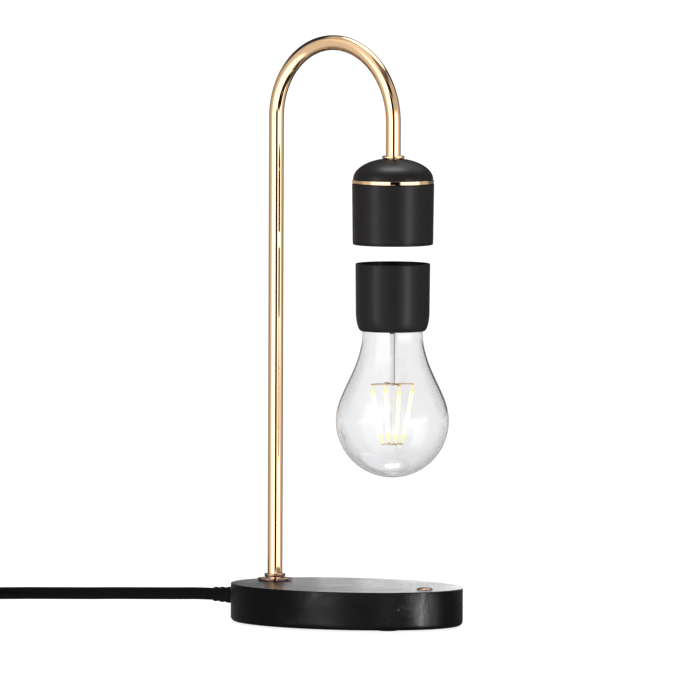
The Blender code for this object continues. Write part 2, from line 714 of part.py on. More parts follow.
def make_head(surfaces):
    centre = (bulb_x, 0)
    bore = TUBE_DIAMETER / 2 + BORE_CLEARANCE
    collar_radius, collar_low = HEAD_COLLAR_DIAMETER / 2, head_collar_top - HEAD_COLLAR_HEIGHT
    turned(
        "head_collar", ring_profile(bore, collar_radius, collar_low, head_collar_top, HEAD_COLLAR_EDGE),
        surfaces["rose_gold"], centre, ring=True,
    )
    # The dome follows a quarter ellipse that the flat round its bore cuts short.
    radius = DOME_DIAMETER / 2
    last_angle = math.asin(DOME_HEIGHT / DOME_CROWN)
    inner_radius, inner_crown = radius - DOME_WALL, DOME_CROWN - DOME_WALL
    last_inner_angle = math.asin((DOME_HEIGHT - DOME_WALL) / inner_crown)
    outer, inner = [], []
    for i in range(DOME_POINTS):
        share = i / (DOME_POINTS - 1)
        angle, inner_angle = last_angle * share, last_inner_angle * share
        outer.append((radius * math.cos(angle), dome_low + DOME_CROWN * math.sin(angle)))
        inner.append((inner_radius * math.cos(inner_angle), dome_low + inner_crown * math.sin(inner_angle)))
    spigot = SPIGOT_DIAMETER / 2
    spigot_low = dome_low - SPIGOT_DEPTH
    spigot_inner = spigot - SPIGOT_WALL
    profile = [(bore, dome_top)] + outer[::-1] + [
        (spigot, dome_low), (spigot, spigot_low), (spigot_inner, spigot_low), (spigot_inner, inner[1][1]),
    ] + inner[2:] + [(bore, dome_top - DOME_WALL)]
    turned("head_dome", profile, surfaces["satin_black"], centre, steps=FINE_STEPS, ring=True)
    trim_bore, trim_low = spigot + BORE_CLEARANCE, trim_top - TRIM_THICKNESS
    turned(
        "head_trim_ring", ring_profile(trim_bore, TRIM_DIAMETER / 2, trim_low, trim_top, TRIM_EDGE),
        surfaces["rose_gold"], centre, steps=FINE_STEPS, ring=True,
    )
    outer_top, outer_low = HEAD_DIAMETER / 2, HEAD_FOOT_DIAMETER / 2
    inner_wall = outer_top - HEAD_WALL
    ledge_wall = inner_wall - HEAD_LEDGE
    ledge = shell_top - HEAD_BOARD_DEPTH - SEAT_GAP
    floor = head_low + HEAD_WALL
    profile = [
        (0, floor), (ledge_wall, floor), (ledge_wall, ledge), (inner_wall, ledge), (inner_wall, shell_top),
        (outer_top, shell_top), (outer_low, head_low + HEAD_EDGE),
        (outer_low - HEAD_EDGE / 3, head_low + HEAD_EDGE / 3), (outer_low - HEAD_EDGE, head_low), (0, head_low),
    ]
    turned("head_shell", profile, surfaces["satin_black"], centre, steps=FINE_STEPS)

    # From the floor up: sensor board, transmitting coil round the lift magnet's spool, core, control board.
    sensor_low = floor + SEAT_GAP
    sensor_top = sensor_low + HEAD_BOARD_THICKNESS
    turned(
        "sensor_board", disc_profile(ledge_wall - BORE_CLEARANCE, sensor_low, sensor_top),
        surfaces["circuit_board"], centre,
    )
    coil_low = sensor_top + SEAT_GAP
    coil_outer, coil_top = TRANSMIT_COIL_DIAMETER / 2, coil_low + TRANSMIT_COIL_THICKNESS
    turned(
        "transmit_coil", ring_profile(coil_outer - TRANSMIT_COIL_WIDTH, coil_outer, coil_low, coil_top),
        surfaces["copper"], centre, ring=True,
    )
    spool_bore = LIFT_CORE_DIAMETER / 2 + BORE_CLEARANCE
    spool_outer = BOBBIN_DIAMETER / 2
    spool_waist = spool_bore + BOBBIN_WALL
    spool_top = coil_low + BOBBIN_HEIGHT
    profile = [
        (spool_bore, spool_top), (spool_outer, spool_top), (spool_outer, spool_top - BOBBIN_WALL),
        (spool_waist, spool_top - BOBBIN_WALL), (spool_waist, coil_low + BOBBIN_WALL),
        (spool_outer, coil_low + BOBBIN_WALL), (spool_outer, coil_low), (spool_bore, coil_low),
    ]
    turned("lift_spool", profile, surfaces["white_plastic"], centre, steps=SMALL_STEPS, ring=True)
    turned(
        "lift_winding",
        ring_profile(
            spool_waist + SEAT_GAP, WINDING_DIAMETER / 2, coil_low + BOBBIN_WALL + SEAT_GAP,
            spool_top - BOBBIN_WALL - SEAT_GAP,
        ),
        surfaces["copper"], centre, steps=SMALL_STEPS, ring=True,
    )
    cap_low = spool_top + SEAT_GAP
    cap_top = cap_low + LIFT_CORE_CAP_THICKNESS
    profile = [
        (0, cap_top), (LIFT_CORE_CAP_DIAMETER / 2, cap_top), (LIFT_CORE_CAP_DIAMETER / 2, cap_low),
        (LIFT_CORE_DIAMETER / 2, cap_low), (LIFT_CORE_DIAMETER / 2, coil_low), (0, coil_low),
    ]
    turned("lift_core", profile, surfaces["steel"], centre, steps=SMALL_STEPS)
    board_low_face = shell_top - HEAD_BOARD_DEPTH
    turned(
        "control_board",
        disc_profile(inner_wall - BORE_CLEARANCE, board_low_face, board_low_face + HEAD_BOARD_THICKNESS),
        surfaces["circuit_board"], centre,
    )


def make_cup(surfaces):
    centre = (bulb_x, 0)
    rim, waist, mouth = CUP_DIAMETER / 2, CUP_WAIST_DIAMETER / 2, CUP_MOUTH_DIAMETER / 2
    inner = rim - CUP_RIM_WALL
    lid_wall = inner - CUP_LEDGE
    lid_top = cup_top - CUP_RECESS
    lid_low = lid_top - LID_THICKNESS
    lid_ledge = lid_low - SEAT_GAP
    magnet_top = lid_low - SEAT_GAP
    magnet_low = magnet_top - MAGNET_THICKNESS
    holder_top = magnet_top - RECEIVE_COIL_THICKNESS - SEAT_GAP
    holder_low = holder_top - HOLDER_HEIGHT
    board_top_face = holder_low - SEAT_GAP
    board_low_face = board_top_face - DRIVER_BOARD_THICKNESS
    board_ledge = board_low_face - SEAT_GAP
    taper = []
    for i in range(CUP_TAPER_POINTS + 1):
        angle = math.pi / 2 * i / CUP_TAPER_POINTS
        taper.append((
            mouth + (waist - mouth) * math.cos(angle), cup_low + CUP_TAPER_HEIGHT * (1 - math.sin(angle)),
        ))
    glass_hole = GLASS_NECK_DIAMETER / 2 + BORE_CLEARANCE
    profile = [
        (glass_hole, cup_low), (glass_hole, board_ledge), (lid_wall, board_ledge), (lid_wall, lid_ledge),
        (inner, lid_ledge), (inner, cup_top), (rim, cup_top),
    ] + taper
    turned("bulb_cup", profile, surfaces["satin_black"], centre, steps=FINE_STEPS, ring=True)
    turned("cup_lid", disc_profile(inner - BORE_CLEARANCE, lid_low, lid_top), surfaces["case_black"], centre)
    magnet = disc_profile(MAGNET_DIAMETER / 2, magnet_low, magnet_top)
    turned("float_magnet", magnet, surfaces["magnet_nickel"], centre)
    pocket = MAGNET_DIAMETER / 2 + BORE_CLEARANCE
    coil_outer, coil_low = lid_wall - 2 * BORE_CLEARANCE, magnet_top - RECEIVE_COIL_THICKNESS
    turned(
        "receive_coil", ring_profile(coil_outer - RECEIVE_COIL_WIDTH, coil_outer, coil_low, magnet_top),
        surfaces["copper"], centre, ring=True,
    )
    pocket_floor = magnet_low - SEAT_GAP
    profile = [
        (0, pocket_floor), (pocket, pocket_floor), (pocket, holder_top), (coil_outer, holder_top),
        (coil_outer, holder_low), (coil_outer - HOLDER_SKIRT, holder_low),
        (coil_outer - HOLDER_SKIRT, pocket_floor - HOLDER_FLOOR), (0, pocket_floor - HOLDER_FLOOR),
    ]
    turned("magnet_holder", profile, surfaces["white_plastic"], centre)
    turned(
        "driver_board", disc_profile(lid_wall - BORE_CLEARANCE, board_low_face, board_top_face),
        surfaces["circuit_board"], centre,
    )


def glass_outline(inset, sphere_points, neck_points):
    """The bulb's outline as (radius, height) from the top of its throat down to its lowest point."""
    radius = BULB_DIAMETER / 2
    middle = bulb_low + radius
    neck = GLASS_NECK_DIAMETER / 2
    throat = GLASS_THROAT_DIAMETER / 2
    join = math.asin(SPHERE_END_SHARE)
    start = Vector((radius * math.cos(join), middle + radius * math.sin(join)))
    end = Vector((neck, cup_low))
    pull = cup_low - start.y
    leave = start + Vector((-math.sin(join), math.cos(join))) * pull * NECK_PULL_LOW_SHARE
    arrive = end - Vector((0, 1)) * pull * NECK_PULL_HIGH_SHARE
    outline = [(throat, cup_low + GLASS_THROAT_HEIGHT), (throat, cup_low + GLASS_THROAT_HEIGHT / 2)]
    for i in range(neck_points):
        t = 1 - i / neck_points
        p = (1 - t)**3 * start + 3 * t * (1 - t)**2 * leave + 3 * t**2 * (1 - t) * arrive + t**3 * end
        outline.append((p.x, p.y))
    for i in range(sphere_points + 1):
        angle = join - (join + math.pi / 2) * i / sphere_points
        outline.append((radius * math.cos(angle), middle + radius * math.sin(angle)))
    if not inset:
        return outline[:-1] + [(0, bulb_low)]
    inner = []
    for i, (r, z) in enumerate(outline):
        before, after = outline[max(i - 1, 0)], outline[min(i + 1, len(outline) - 1)]
        along = Vector((after[0] - before[0], after[1] - before[1])).normalized()
        inner.append((r + along.y * inset, z - along.x * inset))
    inner[0] = (throat - inset, outline[0][1])
    return inner[:-1] + [(0, bulb_low + inset)]


def make_bulb(surfaces):
    centre = (bulb_x, 0)
    outline = glass_outline(0, GLASS_SPHERE_POINTS, GLASS_NECK_POINTS)
    inner = glass_outline(GLASS_WALL, GLASS_INNER_SPHERE_POINTS, GLASS_INNER_NECK_POINTS)
    turned("bulb_glass", inner[::-1] + outline, surfaces["clear_glass"], centre, steps=FINE_STEPS)

    flare = GLASS_THROAT_DIAMETER / 2 - GLASS_WALL - BORE_CLEARANCE
    flare_top = cup_low + GLASS_THROAT_HEIGHT
    flare_end = flare_top - STEM_FLARE_LENGTH
    throat, rod_radius, tip = STEM_THROAT_DIAMETER / 2, STEM_ROD_DIAMETER / 2, STEM_TIP_DIAMETER / 2
    hub_half = CROSS_HUB_HEIGHT / 2
    step_height = cross_height + hub_half + SEAT_GAP
    throat_height = flare_top - STEM_FLARE_LENGTH / 2
    profile = [
        (0, flare_top), (flare, flare_top), (flare, flare_top - STEM_FLARE_THICKNESS),
        ((flare + throat) / 2, flare_top - STEM_FLARE_LENGTH / 4), (throat, throat_height),
        (rod_radius, flare_end), (rod_radius, step_height), (tip, step_height),
        (tip, lower_cross_height - hub_half), (0, lower_cross_height - hub_half),
    ]
    turned("stem_glass", profile, surfaces["clear_glass"], centre, steps=SMALL_STEPS)

    hub_bore = tip + BORE_CLEARANCE
    hub_outer = hub_bore + CROSS_HUB_WALL
    angles = [FILAMENT_TURN_DEG + 360 * i / FILAMENT_COUNT for i in range(FILAMENT_COUNT)]
    for name, height, reach in (
        ("upper_cross", cross_height, UPPER_CROSS_REACH),
        ("lower_cross", lower_cross_height, LOWER_CROSS_REACH),
    ):
        hub = rod(
            name, (bulb_x, 0, height - hub_half), (bulb_x, 0, height + hub_half), 2 * hub_outer,
            surfaces["cross_wire"], segments=WIRE_STEPS,
        )
        for angle in angles:
            arm = rod(
                "arm", on_bulb_axis((hub_bore + hub_outer) / 2, angle, height),
                on_bulb_axis(reach, angle, height), CROSS_WIRE_DIAMETER, segments=WIRE_STEPS,
            )
            combine(hub, arm, "UNION")
        reach_past = hub_half + CUT_OVERRUN
        cut_round(hub, bulb_x, 0, height - reach_past, height + reach_past, 2 * hub_bore, WIRE_STEPS)

    wire = CROSS_WIRE_DIAMETER / 2
    inset = FILAMENT_PIN_DIAMETER / 2
    for number, angle in enumerate(angles, 1):
        top = on_bulb_axis(UPPER_CROSS_REACH - inset, angle, cross_height - wire - SEAT_GAP)
        low = on_bulb_axis(LOWER_CROSS_REACH - inset, angle, lower_cross_height + wire + SEAT_GAP)
        length = (top - low).length
        body_top = length - FILAMENT_PIN_LENGTH
        pin, body = FILAMENT_PIN_DIAMETER / 2, FILAMENT_DIAMETER / 2
        profile = [
            (0, length), (pin, length), (pin, body_top), (body, body_top),
            (body, FILAMENT_PIN_LENGTH), (pin, FILAMENT_PIN_LENGTH), (pin, 0), (0, 0),
        ]
        filament = turned(f"filament_{number}", profile, surfaces["filament_glow"], steps=WIRE_STEPS)
        filament.location = low
        filament.rotation_mode = "QUATERNION"
        filament.rotation_quaternion = (top - low).to_track_quat("Z", "Y")

    # Two leads run beside the stem's rod from its throat to the upper cross.
    for number, side in enumerate((0, 180), 1):
        lead_angle = FILAMENT_TURN_DEG + side
        top = on_bulb_axis(LEAD_OFFSET, lead_angle, flare_top - STEM_FLARE_LENGTH / 2 - STEM_FLARE_LENGTH / 3)
        low = on_bulb_axis(LEAD_OFFSET, lead_angle, cross_height + wire + SEAT_GAP)
        rod(f"filament_lead_{number}", low, top, LEAD_DIAMETER, surfaces["cross_wire"], segments=WIRE_STEPS)


def make_boot(start_x, surfaces):
    """The strain relief along -X: a tapered sleeve with rounded ribs, and a neck into the wall behind it."""
    count = 2 * BOOT_RIBS
    neck = BOOT_NECK_DIAMETER / 2
    profile = [(0, BOOT_PLUG_LENGTH), (neck, BOOT_PLUG_LENGTH), (neck, 0)]
    for i in range(count + 1):
        share = i / count
        radius = (BOOT_ROOT_DIAMETER + (BOOT_TIP_DIAMETER - BOOT_ROOT_DIAMETER) * share) / 2
        if i % 2:
            radius -= BOOT_RIB_DEPTH
        profile.append((radius, -share * BOOT_LENGTH))
    profile.append((0, -BOOT_LENGTH))
    boot = turned("cord_boot", profile, surfaces["rubber"], steps=SMALL_STEPS)
    boot.location = (start_x, 0, LEAD_IN_HEIGHT)
    boot.rotation_euler = (0, math.pi / 2, 0)
    return boot


def inner_lead_route():
    """From the strain relief's neck round the tube's wiring, under its nut, and onto the board's end."""
    start_x = -base_half_x + BOOT_PLUG_LENGTH + SEAT_GAP
    end_x = board_start_x - SEAT_GAP
    board_middle = (board_low + board_top) / 2
    halfway = (LEAD_IN_HEIGHT + board_middle) / 2
    return [
        (start_x, 0, LEAD_IN_HEIGHT),
        (start_x + INNER_LEAD_STRAIGHT, 0, LEAD_IN_HEIGHT),
        ((start_x + INNER_LEAD_STRAIGHT + tube_x) / 2, INNER_LEAD_SIDE / 2, halfway),
        (tube_x, INNER_LEAD_SIDE, board_middle),
        (end_x - INNER_LEAD_STRAIGHT, INNER_LEAD_SIDE, board_middle),
        (end_x, INNER_LEAD_SIDE, board_middle),
    ]


def coil_points(centre_x, entry_y):
    """The wound cord: in along one layer, up in the half turn where it reverses, and out along the next."""
    pitch = CORD_DIAMETER + COIL_TURN_GAP
    half_turns = COIL_TURNS / 2
    outer = COIL_MEAN_RADIUS + pitch * half_turns / 2
    centre = Vector((centre_x, entry_y - outer, 0))
    upper = COIL_FLOOR_HEIGHT + pitch
    points = []
    for i in range(COIL_TURNS * COIL_TURN_POINTS + 1):
        turn = i / COIL_TURN_POINTS
        radius = outer - pitch * min(turn, COIL_TURNS - turn)
        climb = min(1, max(0, (turn - half_turns + 0.25) / 0.5))
        climb = climb * climb * (3 - 2 * climb)
        angle = math.radians(90 + 360 * turn)
        off_tie = abs((90 + 360 * turn - TIE_ANGLE_DEG + 180) % 360 - 180)
        over_tie = (1 + math.cos(math.pi * min(1, off_tie / TIE_RISE_ANGLE_DEG))) / 2
        height = COIL_FLOOR_HEIGHT + (upper - COIL_FLOOR_HEIGHT) * climb + TIE_LIFT * over_tie
        points.append(centre + Vector((radius * math.cos(angle), radius * math.sin(angle), height)))
    straight = Vector((CORD_DIAMETER, 0, 0))
    return [points[0] + straight] + points + [points[-1] - straight], centre, outer, upper


def least_gap(points, diameter):
    """The least free space between the turns, measured on the points of unlike turns."""
    least = 1.0
    apart = COIL_TURN_POINTS // 2
    for i, p in enumerate(points):
        for q, r in zip(points[i + apart:], points[i + apart + 1:]):
            along = r - q
            share = min(1, max(0, (p - q).dot(along) / along.length_squared))
            least = min(least, (p - q - share * along).length)
    return least - diameter


def make_lead(surfaces):
    make_boot(-base_half_x - SEAT_GAP, surfaces)
    stretch = smooth_points(CORD_ROUTE, CORD_SPACING)
    tube("power_cord", stretch, CORD_DIAMETER, surfaces["cord_black"], CORD_BEVEL_RESOLUTION)
    wound, centre, outer, upper = coil_points(COIL_CENTRE_X, CORD_ROUTE[-1][1])
    tube("cord_coil", wound, CORD_DIAMETER, surfaces["cord_black"], COIL_BEVEL_RESOLUTION)
    tail = smooth_points(TAIL_ROUTE, CORD_SPACING)
    tube("cord_tail", tail, CORD_DIAMETER, surfaces["cord_black"], CORD_BEVEL_RESOLUTION)
    inside = smooth_points(inner_lead_route(), INNER_LEAD_DIAMETER)
    tube("inner_lead", inside, INNER_LEAD_DIAMETER, surfaces["cord_black"])
    print(f"least gap in the coil {least_gap(wound, CORD_DIAMETER) * 1000:.2f} mm")
    whole = path_length(stretch) + path_length(wound) + path_length(tail)
    print(f"the lead is {whole:.3f} m long, {path_length(wound):.3f} m of it wound")

    # The tie is a closed band round the bundle of turns, which rise a little to pass over it.
    pitch = CORD_DIAMETER + COIL_TURN_GAP
    inner = outer - pitch * COIL_TURNS / 2
    clear = CORD_DIAMETER / 2 + SEAT_GAP
    near, far = inner - clear, outer + clear
    low, high = COIL_FLOOR_HEIGHT + TIE_LIFT - clear, upper + TIE_LIFT + clear
    thick, half_width = TIE_THICKNESS, TIE_WIDTH / 2
    band = box(
        "coil_tie", (near - thick, -half_width, low - thick), (far + thick, half_width, high + thick),
        surfaces["rubber"], TIE_CORNER + thick, along=1,
    )
    hole = box("cut_tie", (near, -TIE_WIDTH, low), (far, TIE_WIDTH, high), None, TIE_CORNER, along=1)
    for block in (band, hole):
        block.location = centre
        block.rotation_euler = (0, 0, math.radians(TIE_ANGLE_DEG))
    combine(band, hole, "DIFFERENCE")


def make_adapter(surfaces):
    tail_end = Vector(TAIL_ROUTE[-1])
    boot_start = tail_end.x - SEAT_GAP - ADAPTER_BOOT_LENGTH
    middle = tail_end.z
    boot = turned(
        "adapter_boot",
        [
            (0, 0), (ADAPTER_BOOT_DIAMETER / 2, 0), (BOOT_TIP_DIAMETER / 2, -ADAPTER_BOOT_LENGTH),
            (0, -ADAPTER_BOOT_LENGTH),
        ],
        surfaces["rubber"], steps=SMALL_STEPS,
    )
    boot.location = (boot_start, tail_end.y, middle)
    boot.rotation_euler = (0, -math.pi / 2, 0)
    front = boot_start - SEAT_GAP
    seam = front - ADAPTER_LENGTH + ADAPTER_COVER_LENGTH
    back = front - ADAPTER_LENGTH
    half = ADAPTER_WIDTH / 2
    case = box(
        "adapter_case", (seam, -half, 0), (front, half, ADAPTER_HEIGHT), surfaces["case_black"], ADAPTER_EDGE,
    )
    hollow = box(
        "cut_case", (seam - CUT_OVERRUN - ADAPTER_EDGE, -half + ADAPTER_WALL, ADAPTER_WALL),
        (front - ADAPTER_WALL, half - ADAPTER_WALL, ADAPTER_HEIGHT - ADAPTER_WALL),
    )
    trim = box(
        "cut_case_end", (seam - CUT_OVERRUN, -ADAPTER_WIDTH, -ADAPTER_HEIGHT),
        (seam + ADAPTER_EDGE, ADAPTER_WIDTH, 2 * ADAPTER_HEIGHT),
    )
    combine(combine(case, hollow, "DIFFERENCE"), trim, "DIFFERENCE")
    cover_front = seam + ADAPTER_EDGE - SEAT_GAP
    cover = box(
        "adapter_cover", (back, -half, 0), (cover_front + ADAPTER_EDGE, half, ADAPTER_HEIGHT),
        surfaces["case_black"], ADAPTER_EDGE,
    )
    trim = box(
        "cut_cover_end", (cover_front, -ADAPTER_WIDTH, -ADAPTER_HEIGHT),
        (cover_front + ADAPTER_EDGE + CUT_OVERRUN, ADAPTER_WIDTH, 2 * ADAPTER_HEIGHT),
    )
    combine(cover, trim, "DIFFERENCE")
    for number, side in enumerate((-1, 1), 1):
        y = side * BLADE_SPACING / 2
        low = (back - BLADE_LENGTH, y - BLADE_THICKNESS / 2, middle - BLADE_WIDTH / 2)
        high = (back + BLADE_ROOT, y + BLADE_THICKNESS / 2, middle + BLADE_WIDTH / 2)
        box(f"adapter_blade_{number}", low, high, surfaces["steel"])
        gap = BORE_CLEARANCE
        slot = box(
            "cut_blade", (back - CUT_OVERRUN, low[1] - gap, low[2] - gap),
            (high[0] + gap, high[1] + gap, high[2] + gap),
        )
        combine(cover, slot, "DIFFERENCE")
    # The adapter's board lies in ledges of the case, from the cover inwards.
    board_low_face = ADAPTER_BOARD_HEIGHT
    board_half = half - ADAPTER_WALL - BORE_CLEARANCE
    box(
        "adapter_board", (cover_front + 2 * SEAT_GAP, -board_half, board_low_face),
        (cover_front + ADAPTER_BOARD_LENGTH, board_half, board_low_face + ADAPTER_BOARD_THICKNESS),
        surfaces["circuit_board"],
    )


def main():
    global parts, helpers
    clear_scene()
    parts = new_collection("levitating_lamp")
    helpers = new_collection("cutters")
    surfaces = make_materials()
    make_base(surfaces)
    make_bottom(surfaces)
    make_base_contents(surfaces)
    make_button(surfaces)
    make_hook(surfaces)
    make_head(surfaces)
    make_cup(surfaces)
    make_bulb(surfaces)
    make_lead(surfaces)
    make_adapter(surfaces)


main()
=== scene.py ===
"""Looks of a table lamp whose bulb floats under a hooked tube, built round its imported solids."""
import json
import math

import bmesh
import bpy
from mathutils import Matrix, Vector

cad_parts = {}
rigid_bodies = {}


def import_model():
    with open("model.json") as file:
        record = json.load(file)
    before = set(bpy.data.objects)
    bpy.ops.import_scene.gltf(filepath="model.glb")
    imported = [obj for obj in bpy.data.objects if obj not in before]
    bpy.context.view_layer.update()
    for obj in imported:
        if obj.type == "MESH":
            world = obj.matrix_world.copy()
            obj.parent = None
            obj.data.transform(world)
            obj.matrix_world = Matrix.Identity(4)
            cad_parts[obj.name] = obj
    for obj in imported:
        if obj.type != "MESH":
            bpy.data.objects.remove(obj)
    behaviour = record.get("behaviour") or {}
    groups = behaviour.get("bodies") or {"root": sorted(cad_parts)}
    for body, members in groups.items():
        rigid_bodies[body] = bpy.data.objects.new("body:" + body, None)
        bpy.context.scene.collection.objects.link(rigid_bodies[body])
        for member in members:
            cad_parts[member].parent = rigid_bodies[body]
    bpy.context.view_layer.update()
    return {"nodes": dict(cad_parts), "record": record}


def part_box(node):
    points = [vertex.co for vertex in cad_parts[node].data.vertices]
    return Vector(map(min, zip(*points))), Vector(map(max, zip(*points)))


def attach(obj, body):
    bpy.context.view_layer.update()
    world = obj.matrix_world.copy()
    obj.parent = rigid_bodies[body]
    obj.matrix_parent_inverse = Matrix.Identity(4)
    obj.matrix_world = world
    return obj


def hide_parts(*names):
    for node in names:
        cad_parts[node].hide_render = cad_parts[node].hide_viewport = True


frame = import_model()

# The camera looks at the lamp from its front right, from a long way off. Angles are in degrees.
VIEW_AZIMUTH = 40.8
VIEW_ELEVATION = 3.6
VIEW_ROLL = 0.2
VIEW_DISTANCE = 16.514
VIEW_LENS = 1600.0
VIEW_NEAR = 1
VIEW_FAR = 80
SENSOR_WIDTH = 36.0
AIM_SIDEWAYS = 0.0013
AIM_HEIGHT = 0.1460

# Fineness of turned and swept pieces
TURN_STEPS = 96
SMALL_TURN_STEPS = 40
ARC_STEPS = 6
SMALL_ARC_STEPS = 3
OVAL_STEPS = 192
ROUTE_STEPS = 16
TUBE_SIDES = 48
CORD_SIDES = 20
WIRE_SIDES = 12
SHARP_ANGLE = math.radians(38)

# Small distances, and the short straight stretch beside each rounding as a share of it
WELD = 0.000002
CLEAR = 0.0003
OVERCUT = 0.002
EDGE = 0.0002
FINE_EDGE = 0.0001
LEAD_IN_SHARE = 0.12

# Base
BASE_WALL = 0.005
TOP_THICKNESS = 0.0035
TOP_RIM = 0.002
TOP_ROUNDING = 0.0005
SIDE_ROUNDING = 0.0024
POST_PLACES = [(x, y) for x in (-0.038, 0.038) for y in (-0.029, 0.029)]
POST_RADIUS = 0.0035
POST_FOOT = 0.0031
POST_SINK = 0.001
SCREW_BORE = 0.0016
SCREW_BORE_TOP = 0.0085
LEAD_HEIGHT = 0.0117
LEAD_BORE = 0.0043

# Power button
BUTTON_CROWN = 0.0011
BUTTON_CROWN_STEPS = 18
BUTTON_SHOULDER = 0.0002
BUTTON_LIP = 0.0011
BUTTON_LIP_THICKNESS = 0.0010
BUTTON_STEM = 0.002

# Hooked tube and its rings
TUBE_X = -0.0505
TUBE_RADIUS = 0.004
TUBE_WALL = 0.0008
TUBE_END_GAP = 0.0005
TUBE_POST_STEPS = 12
HOOK_RADIUS = 0.041
HOOK_LEVEL = 0.268
HOOK_STEPS = 96
HOOK_DROP_STEPS = 4
RING_BORE = TUBE_RADIUS + CLEAR
RING_NECK = 0.0053
RING_NECK_HEIGHT = 0.0006
RING_BEAD_SHARE = 0.72
FERRULE_SHARE = 0.8
FLANGE_ROUNDING = 0.00028

# Head
DOME_CROWN = 0.0112
DOME_WALL = 0.0016
DOME_STEPS = 28
BAND_ROUNDING = 0.00012
SPIGOT_RADIUS = 0.0193
SPIGOT_WALL = 0.0014
SPIGOT_DEPTH = 0.0046
BARREL_WALL = 0.0018
BARREL_LEDGE = 0.0007
BARREL_LEDGE_DROP = 0.0058
BARREL_TAPER = 0.0004
BARREL_ROUNDING = 0.0008
BARREL_TOP_ROUNDING = 0.00025
SEAM_DEPTH = 0.00022
SEAM_HALF_WIDTH = 0.000238
SEAM_FLOOR_HALF_WIDTH = 0.000075
SEAM_FROM_FOOT = 0.0012

# Cup of the floating bulb
CUP_WAIST = 0.0196
CUP_MOUTH = 0.0166
CUP_TAPER = 0.0105
CUP_TAPER_STEPS = 18
CUP_RIM_WALL = 0.0014
CUP_RIM_ROUNDING = 0.0005
CUP_RIM_INNER_ROUNDING = 0.00035
CUP_LEDGE = 0.0008
CUP_RECESS = 0.0035
NECK_BORE = 0.0163
LID_THICKNESS = 0.0015
LID_ROUNDING = 0.0003
LID_GROOVE = 0.0003
LID_GROOVE_RADIUS = 0.0095

# Glass
GLASS_RADIUS = 0.030
GLASS_WALL = 0.0008
GLASS_NECK = 0.0160
GLASS_THROAT = 0.0145
GLASS_THROAT_HEIGHT = 0.010
# Heights over which the glass's painted shade, grey below, fades to clear above
GLASS_PAINTED_SHADE_BETWEEN = (0.086, 0.108)
GLASS_SPHERE_STEPS = 48
GLASS_NECK_STEPS = 28
SPHERE_END_SHARE = 0.25
NECK_PULL_LOW_SHARE = 0.28
NECK_PULL_HIGH_SHARE = 0.42
STEM_THROAT = 0.0035
STEM_ROD = 0.00145
STEM_TIP = 0.0008
STEM_FLARE = 0.0137
STEM_FLARE_LENGTH = 0.012
STEM_FLARE_EDGE = 0.0012
STEM_FLARE_STEPS = 8
STEM_STEP_RISE = 0.0010
STEM_STEP_LENGTH = 0.004
STEM_ROUNDING = 0.0004

# Waves in a metre of the electromagnet's winding and the coils, in radians
WINDING_WAVE = 14000.0

# Wire crosses, as height and reach, and the glowing rods between them
ROD_COUNT = 4
ROD_TURN = math.radians(-30)
ROD_RADIUS = 0.00095
ROD_SIDES = 16
ROD_CAP_SHARE = 0.7
ROD_COOL_END = (0.0025, 0.0065)
UPPER_CROSS = (0.129, 0.012)
LOWER_CROSS = (0.0973, 0.006)
CROSS_WIRE = 0.00045
CROSS_WIRE_STEPS = 10
CROSS_HUB = 0.0016
CROSS_HUB_STEPS = 24
CROSS_BEND = 0.0004
PIN_RADIUS = 0.00035
PIN_LENGTH = 0.0026
STEM_LEAD_SHARE = 0.9
STEM_LEAD_STEPS = 24

# Lead: the same points as its solids
CORD_DIAMETER = 0.0065
CORD_POINT_SPACING = 0.0025
CORD_START = (-0.0900, 0, 0.0117)
CORD_ROUTE = [
    (-0.0926, 0, 0.0117), (-0.1060, 0, 0.0114), (-0.1200, 0, 0.0107), (-0.1350, 0, 0.0100),
    (-0.1500, 0, 0.0093), (-0.1650, 0, 0.0086), (-0.1800, 0, 0.0078), (-0.1950, 0, 0.0071),
    (-0.2100, 0, 0.0064), (-0.2250, 0, 0.0057), (-0.2400, 0, 0.0049), (-0.2550, 0, 0.0041),
    (-0.2680, 0, 0.0035),
]
TAIL_ROUTE = [
    (-0.3020, 0, 0.0107), (-0.3120, 0, 0.0114), (-0.3220, 0, 0.0122), (-0.3320, 0, 0.0128),
    (-0.3400, 0, 0.0130),
]

# Coil of the lead and its tie, with angles in degrees
COIL_CENTRE_X = -0.285
COIL_FLOOR_HEIGHT = 0.0033
COIL_MEAN_RADIUS = 0.0333
COIL_TURNS = 6
COIL_TURN_POINTS = 24
COIL_TURN_GAP = 0.0006
COIL_PITCH = CORD_DIAMETER + COIL_TURN_GAP
COIL_START_ANGLE = 90
COIL_CLIMB_TURNS = 0.5
TIE_HALF_WIDTH = 0.0045
TIE_THICKNESS = 0.0008
TIE_EDGE_SHARE = 0.4
TIE_CORNER = 0.0025
TIE_ANGLE = 235
TIE_RISE_ANGLE = 50
TIE_LIFT = TIE_THICKNESS + 2 * CLEAR

# Strain relief, and the sleeve at the plug
BOOT_START_X = -0.0683
BOOT_LENGTH = 0.024
BOOT_ROOT = 0.0050
BOOT_TIP = 0.0039
BOOT_RIBS = 5
BOOT_NECK = 0.0040
BOOT_NECK_LENGTH = 0.0035
PLUG_SLEEVE_RIBS = 3
RIB_DEPTH = 0.0006
RIB_STEPS = 12
RIB_SHARPNESS = 1.6

# Cable inside the base and the tube, and the lead's end inside the base
WIRING_DIAMETER = 0.0050
WIRING_BEND = 0.006
WIRING_BEND_STEPS = 12
WIRING_POST_STEPS = 24
WIRING_START_X = -0.0313
INNER_LEAD_RADIUS = 0.002
INNER_LEAD_SHARE = 0.98
INNER_LEAD_STRAIGHT = 0.0025
INNER_LEAD_SPACING = 0.001

